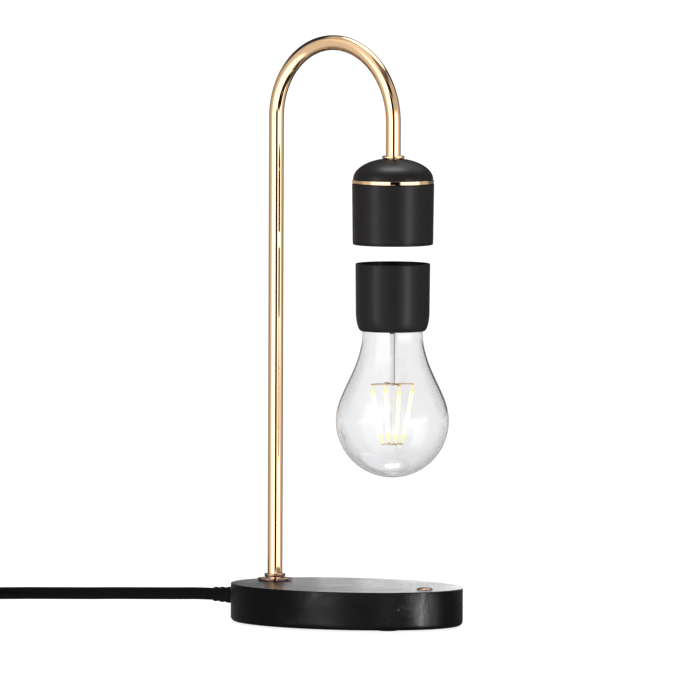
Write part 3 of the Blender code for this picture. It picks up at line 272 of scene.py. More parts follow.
# Plug. A blade's stations from its tip: along the taper, share of its thickness, share of its width
PLUG_WALL = 0.002
PLUG_CORNER = 0.005
PLUG_EDGE = 0.0022
PLUG_SEAM = 0.0004
PLUG_END_SHARE = 0.6
BLADE_TIP = 0.0014
BLADE_TIP_SHARES = ((0, 0.45, 0.66), (1 / 3, 0.70, 0.84), (1, 1, 1))
BLADE_EDGE_SHARE = 0.3
BLADE_HOLE = 0.0015
BLADE_HOLE_FROM_TIP = 0.0035

# The studio that gloss sees in front of the lamp and beside it. Each panel: its sides in degrees to the
# right of the camera, its lower and upper end in degrees above level, its soft edge and its level.
PANELS = {
    "left wall": ((-94, 14), (-95, 95), 8, 0.8),
    "upper left wall": ((-100, 2), (24, 70), 8, 1.05),
    "left soft box": ((-64, 14), (-64, 34), 9, 2.5),
    "right wall": ((26, 118), (-45, 44), 8, 0.65),
    "right soft box": ((22, 78), (-45, 8), 6, 2.5),
    "dark floor": ((12, 118), (-95, -48), 8, 0.04),
    "dark gap by the camera": ((-9, 20), (-12, 26), 3, 0.0),
    "dark gap lower down": ((6, 46), (-60, -12), 4, 0.0),
    "dark gap higher up": ((-2, 46), (26, 46), 4, 0.02),
    "dark ceiling": ((-5, 108), (44, 61), 6, 0.12),
    "dim ceiling": ((-10, 88), (58, 78), 7, 0.25),
}

# What gloss sees behind the lamp: the wall's level left and right of the middle, then its level below and
# above some heights in degrees, and the level at the sides, from where the wall ends
BACK_LEFT = 0.38
BACK_RIGHT = 0.16
BACK_MIDDLE_WIDTH = 0.2
BACK_FOOT = 0.10
BACK_FOOT_BETWEEN = (-21, -10)
BACK_BANDS = ((7, 18, 0.03), (40, 50, 0.7))
BACK_ENDS_BETWEEN = (-0.42, -0.20)
SIDE_LEVEL = 0.5

# A round soft box high behind the lamp: degrees to the right of the camera and above level, its soft edge
# as the cosines of two angles from its middle, and its level. Then the level that matt surfaces see.
HIGH_BOX_PLACE = (150, 62)
HIGH_BOX_COSINES = (0.87, 0.915)
HIGH_BOX_LEVEL = 2.5
MATT_LEVEL = 0.85

# Floor
FLOOR_REACH = 30
FLOOR_GREY = 0.30
FLOOR_GLOW = 0.86

# Strips whose gloss reaches the pieces of one finish alone: degrees to the right of the camera and above
# level, width and height, power, finish, distance, the spot that it looks at, and its grid in degrees
STUDIO_MIDDLE = (0, 0, 0.15)
NO_GRID = 180
STRIPS = {
    "head_right": (46, -8, (0.22, 1.0), 26.0, "satin_black", 1.3, STUDIO_MIDDLE, NO_GRID),
    "head_left": (-51, 4, (0.26, 1.3), 22.0, "satin_black", 1.3, STUDIO_MIDDLE, NO_GRID),
    "head_above": (0, 97, (0.7, 0.25), 36.0, "satin_black", 1.3, STUDIO_MIDDLE, NO_GRID),
    "base_right": (56, -6, (0.024, 0.06), 0.0165, "black_wood", 0.16, (0.066, -0.012, 0.0105), 8),
    "base_left": (-51, 2, (0.04, 0.08), 0.0112, "black_wood", 0.20, (0.0236, -0.0488, 0.0105), 10),
    "base_middle": (12, -6, (0.10, 0.9), 10.0, "black_wood", 1.3, STUDIO_MIDDLE, NO_GRID),
}
CEILING_LIGHT = (178, 64, (0.4, 0.4), 6.0, 1.3, STUDIO_MIDDLE)

# The row of panels behind the base: where each ends to the right of the middle, and height and level as
# a value at the middle and a rise for each metre to the right
CARD_EDGES = (-0.16, -0.06, -0.0375, -0.015, 0.0075, 0.03, 0.0525, 0.075, 0.16)
CARD_DISTANCE = 0.10
CARD_HEIGHT = (0.0475, 0.234)
CARD_LEVEL = (2.1, 29)
CARD_DIMMEST = 0.37
CARD_BRIGHTEST = 4.3


# Node trees
class Nodes:
    """A shorthand for building a node tree: values may be numbers or sockets of other nodes."""

    def __init__(self, tree):
        self.tree = tree

    def set(self, socket, value):
        if isinstance(value, bpy.types.NodeSocket):
            self.tree.links.new(value, socket)
        else:
            socket.default_value = value

    def add(self, kind, values=None, **settings):
        node = self.tree.nodes.new(kind)
        for name, value in settings.items():
            setattr(node, name, value)
        for key, value in (values or {}).items():
            self.set(node.inputs[key], value)
        return node

    def math(self, operation, *values):
        return self.add("ShaderNodeMath", dict(enumerate(values)), operation=operation).outputs[0]

    def vector(self, operation, *values):
        node = self.add("ShaderNodeVectorMath", dict(enumerate(values)), operation=operation)
        return node.outputs["Vector"]

    def measure(self, operation, *values):
        """A vector sum whose result is a plain number."""
        node = self.add("ShaderNodeVectorMath", dict(enumerate(values)), operation=operation)
        return node.outputs["Value"]

    def mix(self, share, first, second):
        return self.add("ShaderNodeMix", {0: share, 6: first, 7: second}, data_type="RGBA").outputs[2]

    def blend(self, share, first, second):
        """The same for plain numbers."""
        return self.add("ShaderNodeMix", {0: share, 2: first, 3: second}).outputs[0]

    def between(self, value, low, high, to_low=0.0, to_high=1.0, kind="SMOOTHSTEP"):
        """Takes a value's way from low to high over to another range, and holds it at both ends."""
        ends = {0: value, 1: low, 2: high, 3: to_low, 4: to_high}
        return self.add("ShaderNodeMapRange", ends, interpolation_type=kind).outputs[0]

    def place(self, stretch=(1, 1, 1)):
        """The piece's own coordinates in metres, with each axis scaled."""
        return self.vector("MULTIPLY", self.add("ShaderNodeTexCoord").outputs["Object"], stretch)

    def height(self):
        """How high a point of the piece lies, in metres."""
        return self.add("ShaderNodeSeparateXYZ", {0: self.place()}).outputs[2]

    def noise(self, where, scale, detail=3.0, rough=0.5):
        values = {"Vector": where, "Scale": scale, "Detail": detail, "Roughness": rough}
        return self.add("ShaderNodeTexNoise", values).outputs[0]


def finish(name, colour, roughness, metallic=0.0, gloss=0.5):
    """A material with one shader. Its even values are set on the shader itself."""
    made = bpy.data.materials.new(name)
    made.use_nodes = True
    made.diffuse_color = (*colour, 1)
    shader = made.node_tree.nodes["Principled BSDF"]
    shader.inputs["Base Color"].default_value = (*colour, 1)
    shader.inputs["Roughness"].default_value = roughness
    shader.inputs["Metallic"].default_value = metallic
    shader.inputs["Specular IOR Level"].default_value = gloss
    return made, Nodes(made.node_tree), shader


def relief(nodes, shader, height, distance, strength=1.0):
    """A fine texture of the given depth in metres."""
    values = {"Strength": strength, "Distance": distance, "Height": height}
    nodes.set(shader.inputs["Normal"], nodes.add("ShaderNodeBump", values).outputs[0])


def tint(nodes, shader, share, first, second):
    """A colour that wanders between two."""
    nodes.set(shader.inputs["Base Color"], nodes.mix(share, (*first, 1), (*second, 1)))


def sheen(nodes, shader, pattern, first, second, start=0.3, end=0.7):
    """A roughness that wanders between two, while the pattern goes from start to end."""
    nodes.set(shader.inputs["Roughness"], nodes.between(pattern, start, end, first, second))


# Finishes
def polished_rose_gold():
    """The tube's mirror polish, with faint cloudy wear."""
    made, nodes, shader = finish("polished_rose_gold", (0.90, 0.60, 0.355), 0.06, 1.0)
    cloud = nodes.noise(nodes.place(), 60, 2)
    tint(nodes, shader, cloud, (0.88, 0.58, 0.34), (0.92, 0.62, 0.37))
    sheen(nodes, shader, cloud, 0.04, 0.06)
    return made


def brushed_rose():
    """The rings at the tube's foot and the button: a little deeper and softer than the tube."""
    made, nodes, shader = finish("brushed_rose", (0.40, 0.265, 0.21), 0.15, 1.0)
    rings = nodes.noise(nodes.place((0.2, 0.2, 1)), 3200, 2)
    tint(nodes, shader, rings, (0.37, 0.24, 0.19), (0.44, 0.29, 0.23))
    sheen(nodes, shader, rings, 0.12, 0.18)
    relief(nodes, shader, rings, 0.000002, 0.3)
    return made


def satin_black():
    """Matt lacquer on turned metal: nearly black, faintly warm, with a fine even tooth."""
    made, nodes, shader = finish("satin_black", (0.018, 0.0165, 0.0165), 0.40, gloss=0.055)
    cloud = nodes.noise(nodes.place(), 90, 4)
    tint(nodes, shader, cloud, (0.0125, 0.0113, 0.0112), (0.0190, 0.0173, 0.0170))
    tooth = nodes.noise(nodes.place(), 5200, 3, 0.6)
    sheen(nodes, shader, tooth, 0.34, 0.46)
    relief(nodes, shader, tooth, 0.000012, 0.5)
    return made


def black_wood():
    """Black stained wood: fine wandering pores, a slightly uneven stain and a silky lacquer."""
    made, nodes, shader = finish("black_wood", (0.011, 0.011, 0.012), 0.36, gloss=0.036)
    bent = nodes.vector("ADD", nodes.place(), nodes.noise(nodes.place(), 9, 2))
    grain = nodes.vector("MULTIPLY", bent, (0.045, 1, 1))
    pores = nodes.noise(grain, 1500, 4, 0.62)
    figure = nodes.noise(grain, 210, 3)
    tint(nodes, shader, figure, (0.0018, 0.0018, 0.0022), (0.0045, 0.0044, 0.0050))
    silk = nodes.between(pores, 0.3, 0.7, 0.32, 0.22)
    nodes.set(shader.inputs["Roughness"], nodes.math("ADD", silk, nodes.math("MULTIPLY", figure, 0.06)))
    relief(nodes, shader, nodes.between(pores, 0.32, 0.58), 0.00004, 0.6)
    return made


def moulded(name, colour, roughness, tooth_size, depth, spread=0.25, gloss=0.04):
    """Moulded plastic or rubber with a fine tooth of the given size."""
    made, nodes, shader = finish(name, colour, roughness, gloss=gloss)
    cloud = nodes.noise(nodes.place(), 70)
    tint(nodes, shader, cloud, [c * (1 - spread) for c in colour], [c * (1 + spread) for c in colour])
    tooth = nodes.noise(nodes.place(), 1 / tooth_size, 3, 0.6)
    sheen(nodes, shader, tooth, roughness - 0.06, roughness + 0.08)
    relief(nodes, shader, tooth, depth, 0.6)
    return made


def bare_metal(name, colour, roughness):
    """Machined metal with faint lathe or rolling lines."""
    made, nodes, shader = finish(name, colour, roughness, 1.0)
    cloud = nodes.noise(nodes.place(), 120)
    tint(nodes, shader, cloud, [c * 0.86 for c in colour], [min(1, c * 1.08) for c in colour])
    lines = nodes.noise(nodes.place((1, 1, 0.06)), 1800)
    sheen(nodes, shader, lines, roughness * 0.75, roughness * 1.25)
    relief(nodes, shader, lines, 0.000006, 0.4)
    return made


def wound_copper():
    """Enamelled wire, laid turn by turn: bands across the radius and up the height."""
    made, nodes, shader = finish("wound_copper", (0.78, 0.36, 0.17), 0.3, 1.0)
    across = nodes.measure("LENGTH", nodes.place((1, 1, 0)))
    way = nodes.math("ADD", across, nodes.height())
    turns = nodes.math("SINE", nodes.math("MULTIPLY", way, WINDING_WAVE))
    share = nodes.between(turns, -1.0, 1.0, kind="LINEAR")
    tint(nodes, shader, share, (0.42, 0.16, 0.07), (0.86, 0.42, 0.20))
    sheen(nodes, shader, share, 0.42, 0.26, 0.0, 1.0)
    relief(nodes, shader, share, 0.00006, 0.8)
    return made


def circuit_board():
    """Green lacquered board with copper tracks under the lacquer."""
    made, nodes, shader = finish("circuit_board", (0.02, 0.10, 0.045), 0.32)
    values = {"Vector": nodes.place(), "Scale": 260.0}
    cells = nodes.add("ShaderNodeTexVoronoi", values, feature="DISTANCE_TO_EDGE")
    track = nodes.between(cells.outputs[0], 0.06, 0.10, 1.0, 0.0)
    tint(nodes, shader, track, (0.012, 0.075, 0.032), (0.05, 0.20, 0.075))
    sheen(nodes, shader, track, 0.36, 0.26, 0.0, 1.0)
    relief(nodes, shader, track, 0.00003, 0.8)
    return made


def clear_glass(name, body):
    """Blown glass with a faint waviness.

    Its thickness seen edge-on darkens the outline, and a painted shade makes it a little greyer at the bulb's
    bottom.
    """
    made, nodes, shader = finish(name, (1, 1, 1), 0.0)
    # Painted shade: a grey tint towards the bulb's bottom, clear higher up
    tint(nodes, shader, nodes.between(nodes.height(), *GLASS_PAINTED_SHADE_BETWEEN), (0.94, 0.94, 0.943), (1, 1, 1))
    shader.inputs["Transmission Weight"].default_value = 1.0
    shader.inputs["IOR"].default_value = 1.47
    relief(nodes, shader, nodes.noise(nodes.place(), 55, 1), 0.00002, 0.2)
    depth = nodes.add("ShaderNodeVolumeAbsorption", {"Color": (0.60, 0.605, 0.62, 1), "Density": body})
    nodes.set(made.node_tree.nodes["Material Output"].inputs["Volume"], depth.outputs[0])
    return made


def glowing_rod():
    """Phosphor over a glowing strip: white hot in its middle, yellow where it cools at the ends."""
    made, nodes, shader = finish("glowing_rod", (0.95, 0.72, 0.20), 0.5)
    near, far = ROD_COOL_END
    low_end = nodes.between(nodes.height(), LOWER_CROSS[0] + near, LOWER_CROSS[0] + far)
    high_end = nodes.between(nodes.height(), UPPER_CROSS[0] - far, UPPER_CROSS[0] - near, 1.0, 0.0)
    middle = nodes.math("MULTIPLY", low_end, high_end)
    grain = nodes.noise(nodes.place(), 2600, 2)
    tint(nodes, shader, grain, (0.90, 0.62, 0.14), (1.0, 0.80, 0.28))
    nodes.set(shader.inputs["Emission Color"], nodes.mix(middle, (1.0, 0.82, 0.14, 1), (1.0, 0.955, 0.80, 1)))
    nodes.set(shader.inputs["Emission Strength"], nodes.blend(middle, 0.9, 1.15))
    relief(nodes, shader, grain, 0.00002, 0.5)
    return made


finishes = {
    "rose_gold": polished_rose_gold(),
    "satin_black": satin_black(),
    "black_wood": black_wood(),
    "steel": bare_metal("zinc_steel", (0.56, 0.56, 0.57), 0.34),
    "copper": wound_copper(),
    "ferrite": moulded("ferrite", (0.045, 0.043, 0.042), 0.62, 0.0007, 0.00004),
    "magnet_nickel": bare_metal("nickel", (0.66, 0.63, 0.57), 0.16),
    "circuit_board": circuit_board(),
    "white_plastic": moulded("white_plastic", (0.72, 0.71, 0.68), 0.45, 0.0005, 0.00001, 0.05),
    "rubber": moulded("black_rubber", (0.0035, 0.0035, 0.0038), 0.52, 0.00035, 0.00001),
    "cord_black": moulded("cord_sheath", (0.0026, 0.0026, 0.0028), 0.46, 0.0004, 0.000008),
    "case_black": moulded("case_plastic", (0.017, 0.017, 0.018), 0.42, 0.00045, 0.00002),
    "clear_glass": clear_glass("bulb_glass_clear", 340.0),
    "filament_glow": glowing_rod(),
    "cross_wire": bare_metal("support_wire", (0.84, 0.66, 0.44), 0.26),
}
stem_finish = clear_glass("stem_glass_clear", 120.0)
ring_finish = brushed_rose()
lead_finish = bare_metal("lead_wire", (0.42, 0.42, 0.40), 0.30)


# Shaping
def show(obj):
    bpy.context.scene.collection.objects.link(obj)
    return obj


def outward(mesh):
    """Welds what coincides and turns the faces so that they point out of the closed piece."""
    bm = bmesh.new()
    bm.from_mesh(mesh)
    bmesh.ops.remove_doubles(bm, verts=bm.verts, dist=WELD)
    bmesh.ops.recalc_face_normals(bm, faces=bm.faces)
    if bm.calc_volume(signed=True) < 0:
        bmesh.ops.reverse_faces(bm, faces=bm.faces)
    bm.to_mesh(mesh)
    bm.free()


def shaded(obj):
    """Smooth faces, with sharp edges where they meet steeply."""
    obj.data.shade_smooth()
    obj.data.set_sharp_from_angle(angle=SHARP_ANGLE)
    return obj


def smoothed(obj):
    outward(obj.data)
    return shaded(obj)


def loft(name, loops, ring=False):
    """A closed skin through loops of points. A loop of one point is a pole; a wider end loop is capped."""
    vertices, starts, faces = [], [], []
    for loop in loops:
        starts.append(len(vertices))
        vertices += [tuple(p) for p in loop]
    pairs = list(zip(range(len(loops) - 1), range(1, len(loops))))
    if ring:
        pairs.append((len(loops) - 1, 0))
    for a, b in pairs:
        count = max(len(loops[a]), len(loops[b]))
        for i in range(count):
            j = (i + 1) % count
            near = [starts[a] + i, starts[a] + j] if len(loops[a]) > 1 else [starts[a]]
            far = [starts[b] + j, starts[b] + i] if len(loops[b]) > 1 else [starts[b]]
            faces.append(near + far)
    if not ring:
        for k in (0, len(loops) - 1):
            if len(loops[k]) > 1:
                faces.append([starts[k] + i for i in range(len(loops[k]))])
    mesh = bpy.data.meshes.new(name)
    mesh.from_pydata(vertices, [], faces)
    return smoothed(show(bpy.data.objects.new(name, mesh)))


def eased(share):
    """A share that leaves 0 and reaches 1 gently."""
    return share * share * (3 - 2 * share)


def arc_between(first, last, steps):
    """Unit directions from one to another along the circle that joins them."""
    angle = first.angle(last)
    for i in range(steps + 1):
        share = i / steps
        yield (first * math.sin((1 - share) * angle) + last * math.sin(share * angle)) / math.sin(angle)


def rounded(corners, steps=ARC_STEPS, closed=False):
    """A section of (across, up, rounding) corners with an arc at each corner that has a rounding."""
    points = []
    last = len(corners) - 1
    for i, (across, up, rounding) in enumerate(corners):
        here = Vector((across, up))
        if not rounding or (not closed and i in (0, last)):
            points.append(here)
            continue
        before = (Vector(corners[i - 1][:2]) - here).normalized()
        after = (Vector(corners[(i + 1) % len(corners)][:2]) - here).normalized()
        half = before.angle(after) / 2
        reach = rounding / math.tan(half)
        middle = here + (before + after).normalized() * rounding / math.sin(half)
        start, end = here + before * reach, here + after * reach
        points.append(start + before * rounding * LEAD_IN_SHARE)
        for direction in arc_between((start - middle).normalized(), (end - middle).normalized(), steps):
            points.append(middle + direction * rounding)
        points.append(end + after * rounding * LEAD_IN_SHARE)
    return points


def circle(radius, height, centre, steps):
    if radius < WELD:
        return [(centre[0], centre[1], height)]
    angles = [2 * math.pi * i / steps for i in range(steps)]
    return [(centre[0] + radius * math.cos(a), centre[1] + radius * math.sin(a), height) for a in angles]


def turned(name, section, centre=(0, 0), ring=False, steps=TURN_STEPS):
    """A turned piece about an upright axis, from its section of (radius, height) points."""
    return loft(name, [circle(p[0], p[1], centre, steps) for p in section], ring)


def laid(obj, start, way):
    """Takes an upright piece that starts at the origin, and lays it from a point along a way."""
    obj.data.transform(Matrix.Translation(start) @ way.to_track_quat("Z", "Y").to_matrix().to_4x4())
    return obj


def bar(name, start, end, radius, steps=SMALL_TURN_STEPS):
    """A straight round bar between two points."""
    way = Vector(end) - Vector(start)
    section = [(0, 0), (radius, 0), (radius, way.length), (0, way.length)]
    return laid(turned(name, section, steps=steps), Vector(start), way)


def plain_mesh(obj):
    """Turns what the modifiers give into the piece's own mesh, and takes the modifiers away."""
    depsgraph = bpy.context.evaluated_depsgraph_get()
    mesh = bpy.data.meshes.new_from_object(obj.evaluated_get(depsgraph), depsgraph=depsgraph)
    obj.modifiers.clear()
    obj.data = mesh
    return obj


def cut(obj, cutter, operation="DIFFERENCE"):
    boolean = obj.modifiers.new("cut", "BOOLEAN")
    boolean.operation = operation
    boolean.solver = "EXACT"
    boolean.object = cutter
    plain_mesh(obj)
    bpy.data.objects.remove(cutter)
    return smoothed(obj)


def joined(name, pieces):
    """One mesh of several closed bodies, with places in the mesh."""
    bm = bmesh.new()
    for piece in pieces:
        bm.from_mesh(piece.data)
        bpy.data.objects.remove(piece)
    mesh = bpy.data.meshes.new(name)
    bm.to_mesh(mesh)
    bm.free()
    return shaded(show(bpy.data.objects.new(name, mesh)))


# Growing trees
def new_tree(name, inputs):
    """A geometry tree with a mesh input, the named inputs and one for the finish."""
    tree = bpy.data.node_groups.new(name, "GeometryNodeTree")
    tree.interface.new_socket("Geometry", in_out="INPUT", socket_type="NodeSocketGeometry")
    for label, kind in (inputs | {"Finish": "Material"}).items():
        tree.interface.new_socket(label, in_out="INPUT", socket_type="NodeSocket" + kind)
    tree.interface.new_socket("Geometry", in_out="OUTPUT", socket_type="NodeSocketGeometry")
    nodes = Nodes(tree)
    return tree, nodes, nodes.add("NodeGroupInput").outputs


def end_tree(nodes, geometry, material):
    """Every tree ends in single real meshes that carry their material."""
    smooth = nodes.add("GeometryNodeSetShadeSmooth", {"Geometry": geometry})
    real = nodes.add("GeometryNodeRealizeInstances", {"Geometry": smooth.outputs[0]})
    coated = nodes.add("GeometryNodeSetMaterial", {"Geometry": real.outputs[0], "Material": material})
    nodes.add("NodeGroupOutput", {"Geometry": coated.outputs[0]})


def swept(nodes, line, radius, sides, caps, scale=1.0):
    """A round section drawn along a line."""
    section = nodes.add("GeometryNodeCurvePrimitiveCircle", {"Resolution": sides, "Radius": radius})
    return nodes.add("GeometryNodeCurveToMesh", {
        "Curve": line, "Profile Curve": section.outputs[0], "Scale": scale, "Fill Caps": caps,
    }).outputs[0]


def tube_tree():
    """A round tube along the seed's line of points."""
    tree, nodes, given = new_tree("tube_along_line", {"Radius": "Float", "Sides": "Int", "Ends": "Bool"})
    line = nodes.add("GeometryNodeMeshToCurve", {"Mesh": given["Geometry"]}).outputs[0]
    end_tree(nodes, swept(nodes, line, given["Radius"], given["Sides"], given["Ends"]), given["Finish"])
    return tree


def sleeve_tree():
    """A tapered sleeve along the seed's line, with soft ribs round it."""
    tree, nodes, given = new_tree("ribbed_sleeve", {
        "Root Radius": "Float", "Tip Radius": "Float", "Rib Depth": "Float", "Ribs": "Int", "Sides": "Int",
    })
    line = nodes.add("GeometryNodeMeshToCurve", {"Mesh": given["Geometry"]}).outputs[0]
    along = nodes.add("GeometryNodeSplineParameter").outputs["Factor"]
    taper = nodes.blend(along, given["Root Radius"], given["Tip Radius"])
    phase = nodes.math("MULTIPLY", nodes.math("MULTIPLY", along, given["Ribs"]), 2 * math.pi)
    wave = nodes.math("MULTIPLY", nodes.math("SUBTRACT", 1.0, nodes.math("COSINE", phase)), 0.5)
    groove = nodes.math("MULTIPLY", nodes.math("POWER", wave, RIB_SHARPNESS), given["Rib Depth"])
    radius = nodes.math("SUBTRACT", taper, groove)
    end_tree(nodes, swept(nodes, line, 1.0, given["Sides"], True, radius), given["Finish"])
    return tree


def spokes_tree():
    """Wires that leave a hub like spokes, each with a slight bend, and the small ring that holds them."""
    tree, nodes, given = new_tree("spokes_on_a_hub", {
        "Count": "Int", "Turn": "Float", "Hub Radius": "Float", "Reach": "Float", "Wire Radius": "Float",
        "Bend": "Float", "Centre": "Vector", "Sides": "Int",
    })
    middle_x = nodes.math("MULTIPLY", nodes.math("ADD", given["Hub Radius"], given["Reach"]), 0.5)
    line = nodes.add("GeometryNodeCurveQuadraticBezier", {
        "Resolution": CROSS_WIRE_STEPS,
        "Start": nodes.add("ShaderNodeCombineXYZ", {0: given["Hub Radius"]}).outputs[0],
        "Middle": nodes.add("ShaderNodeCombineXYZ", {0: middle_x, 2: given["Bend"]}).outputs[0],
        "End": nodes.add("ShaderNodeCombineXYZ", {0: given["Reach"]}).outputs[0],
    }).outputs[0]
    places = nodes.add("GeometryNodeMeshLine", {"Count": given["Count"], "Offset": (0, 0, 0)})
    index = nodes.add("GeometryNodeInputIndex").outputs[0]
    step = nodes.math("DIVIDE", 2 * math.pi, given["Count"])
    angle = nodes.math("ADD", nodes.math("MULTIPLY", index, step), given["Turn"])
    spokes = nodes.add("GeometryNodeInstanceOnPoints", {
        "Points": places.outputs[0],
        "Instance": swept(nodes, line, given["Wire Radius"], given["Sides"], True),
        "Rotation": nodes.add("ShaderNodeCombineXYZ", {2: angle}).outputs[0],
    })
    hub = {"Resolution": CROSS_HUB_STEPS, "Radius": given["Hub Radius"]}
    hub_line = nodes.add("GeometryNodeCurvePrimitiveCircle", hub).outputs[0]
    both = nodes.add("GeometryNodeJoinGeometry")
    nodes.set(both.inputs[0], spokes.outputs[0])
    nodes.set(both.inputs[0], swept(nodes, hub_line, given["Wire Radius"], given["Sides"], False))
    moved = nodes.add("GeometryNodeTransform", {"Geometry": both.outputs[0], "Translation": given["Centre"]})
    end_tree(nodes, moved.outputs[0], given["Finish"])
    return tree


def grown(name, points, tree, values):
    """Grows a tree on a line of points, and keeps the result as a plain mesh."""
    seed = bpy.data.meshes.new(name)
    seed.from_pydata([tuple(p) for p in points], [(i, i + 1) for i in range(len(points) - 1)], [])
    obj = show(bpy.data.objects.new(name, seed))
    modifier = obj.modifiers.new("grow", "NODES")
    modifier.node_group = tree
    for item in tree.interface.items_tree:
        if item.in_out == "INPUT" and item.name in values:
            modifier[item.identifier] = values[item.name]
    return smoothed(plain_mesh(obj))


tube_along_line = tube_tree()
ribbed_sleeve = sleeve_tree()
spokes_on_a_hub = spokes_tree()


def round_line(name, points, radius, sides, surface, ends=True):
    """A round tube, cable or wire along a line of points."""
    return grown(name, points, tube_along_line, {
        "Radius": radius, "Sides": sides, "Ends": ends, "Finish": surface,
    })


def sleeve(name, start_x, end_x, height, root, ribs):
    """A ribbed sleeve along the lead, from its wide root to its tip."""
    count = ribs * RIB_STEPS
    line = [(start_x + (end_x - start_x) * i / count, 0, height) for i in range(count + 1)]
    return grown(name, line, ribbed_sleeve, {
        "Root Radius": root, "Tip Radius": BOOT_TIP, "Rib Depth": RIB_DEPTH, "Ribs": ribs,
        "Sides": SMALL_TURN_STEPS, "Finish": finishes["rubber"],
    })


# Dressing pieces
def dress(obj, body, slot, nodes, surface=None):
    """Gives a piece its finish, the one of its slot unless another is given, puts it on its body and hides
    the solids that it stands for.
    """
    obj.data.materials.clear()
    obj.data.materials.append(surface or finishes[slot])
    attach(obj, body)
    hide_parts(*nodes)
    return obj


def middle_and_half(node):
    """The middle of a node's box and half of its sides, for each axis."""
    low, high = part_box(node)
    return (low + high) / 2, (high - low) / 2


def upright(node):
    """Middle, radius, lowest and highest of an upright round node."""
    low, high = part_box(node)
    return ((low[0] + high[0]) / 2, 0.0), (high[0] - low[0]) / 2, low[2], high[2]


# Camera
def bearing(azimuth, elevation):
    """A direction, from the degrees to the right of the camera and above level."""
    turn, rise = math.radians(VIEW_AZIMUTH + azimuth), math.radians(elevation)
    return Vector((math.sin(turn) * math.cos(rise), -math.cos(turn) * math.cos(rise), math.sin(rise)))


def make_camera():
    data = bpy.data.cameras.new("camera")
    data.lens = VIEW_LENS
    data.sensor_width = SENSOR_WIDTH
    data.clip_start = VIEW_NEAR
    data.clip_end = VIEW_FAR
    camera = show(bpy.data.objects.new("camera", data))
    back = bearing(0, VIEW_ELEVATION)
    camera.location = bearing(90, 0) * AIM_SIDEWAYS + Vector((0, 0, AIM_HEIGHT)) + back * VIEW_DISTANCE
    camera.rotation_mode = "QUATERNION"
    roll = Matrix.Rotation(math.radians(VIEW_ROLL), 4, "Z").to_quaternion()
    camera.rotation_quaternion = (-back).to_track_quat("-Z", "Y") @ roll
    bpy.context.scene.camera = camera


# Lead
def coil_points():
    """The wound lead: in along one layer, up in the half turn where it reverses, and out along the next."""
    half_turns = COIL_TURNS / 2
    outer = COIL_MEAN_RADIUS + COIL_PITCH * half_turns / 2
    centre = Vector((COIL_CENTRE_X, -outer, 0))
    points = []
    for i in range(COIL_TURNS * COIL_TURN_POINTS + 1):
        turn = i / COIL_TURN_POINTS
        radius = outer - COIL_PITCH * min(turn, COIL_TURNS - turn)
        climb = eased(min(1, max(0, (turn - half_turns) / COIL_CLIMB_TURNS + 0.5)))
        degrees = COIL_START_ANGLE + 360 * turn
        off_tie = abs((degrees - TIE_ANGLE + 180) % 360 - 180)
        over_tie = (1 + math.cos(math.pi * min(1, off_tie / TIE_RISE_ANGLE))) / 2
        height = COIL_FLOOR_HEIGHT + COIL_PITCH * climb + TIE_LIFT * over_tie
        angle = math.radians(degrees)
        points.append(centre + Vector((radius * math.cos(angle), radius * math.sin(angle), height)))
    return points, centre, outer


def even_points(route, spacing):
    """Points at an even spacing along the smooth curve through a route."""
    route = [Vector(p) for p in route]
    ends = [2 * route[0] - route[1]] + route + [2 * route[-1] - route[-2]]
    dense = []
    for a, b, c, d in zip(ends, ends[1:], ends[2:], ends[3:]):
        for i in range(ROUTE_STEPS):
            t = i / ROUTE_STEPS
            square = (2 * a - 5 * b + 4 * c - d) * t**2
            cube = (3 * b - a - 3 * c + d) * t**3
            dense.append((2 * b + (c - a) * t + square + cube) / 2)
    dense.append(route[-1])
    length = sum((q - p).length for p, q in zip(dense, dense[1:]))
    count = round(length / spacing)
    points, walked, target = [dense[0]], 0.0, 1
    for p, q in zip(dense, dense[1:]):
        step = (q - p).length
        while target < count and walked + step >= target * length / count:
            points.append(p.lerp(q, (target * length / count - walked) / step))
            target += 1
        walked += step
    return points + [dense[-1]]


def make_lead():
    wound, centre, outer = coil_points()
    route = even_points([CORD_START] + CORD_ROUTE + wound + TAIL_ROUTE, CORD_POINT_SPACING)
    lead = round_line("power_lead", route, CORD_DIAMETER / 2, CORD_SIDES, finishes["cord_black"])
    dress(lead, "lamp", "cord_black", ("power_cord", "cord_coil", "cord_tail"))
    extras = [make_strain_relief(), make_tie(centre, outer)] + make_plug() + [frame["nodes"]["adapter_board"]]


def make_strain_relief():
    """The ribbed sleeve where the lead leaves the base, and its neck in the base's wall."""
    ribbed = sleeve("sleeve", BOOT_START_X, BOOT_START_X - BOOT_LENGTH, LEAD_HEIGHT, BOOT_ROOT, BOOT_RIBS)
    neck_start = (BOOT_START_X - CLEAR, 0, LEAD_HEIGHT)
    neck_end = (BOOT_START_X + BOOT_NECK_LENGTH, 0, LEAD_HEIGHT)
    neck = bar("neck", neck_start, neck_end, BOOT_NECK)
    return dress(joined("strain_relief", [ribbed, neck]), "lamp", "rubber", ("cord_boot",))


def frame_loop(low, high, corner, out):
    """A rounded rectangle between two corners, moved outwards."""
    left, bottom, right, top = low[0] - out, low[1] - out, high[0] + out, high[1] + out
    places = [(left, bottom), (right, bottom), (right, top), (left, top)]
    return rounded([(*place, corner + out) for place in places], closed=True)


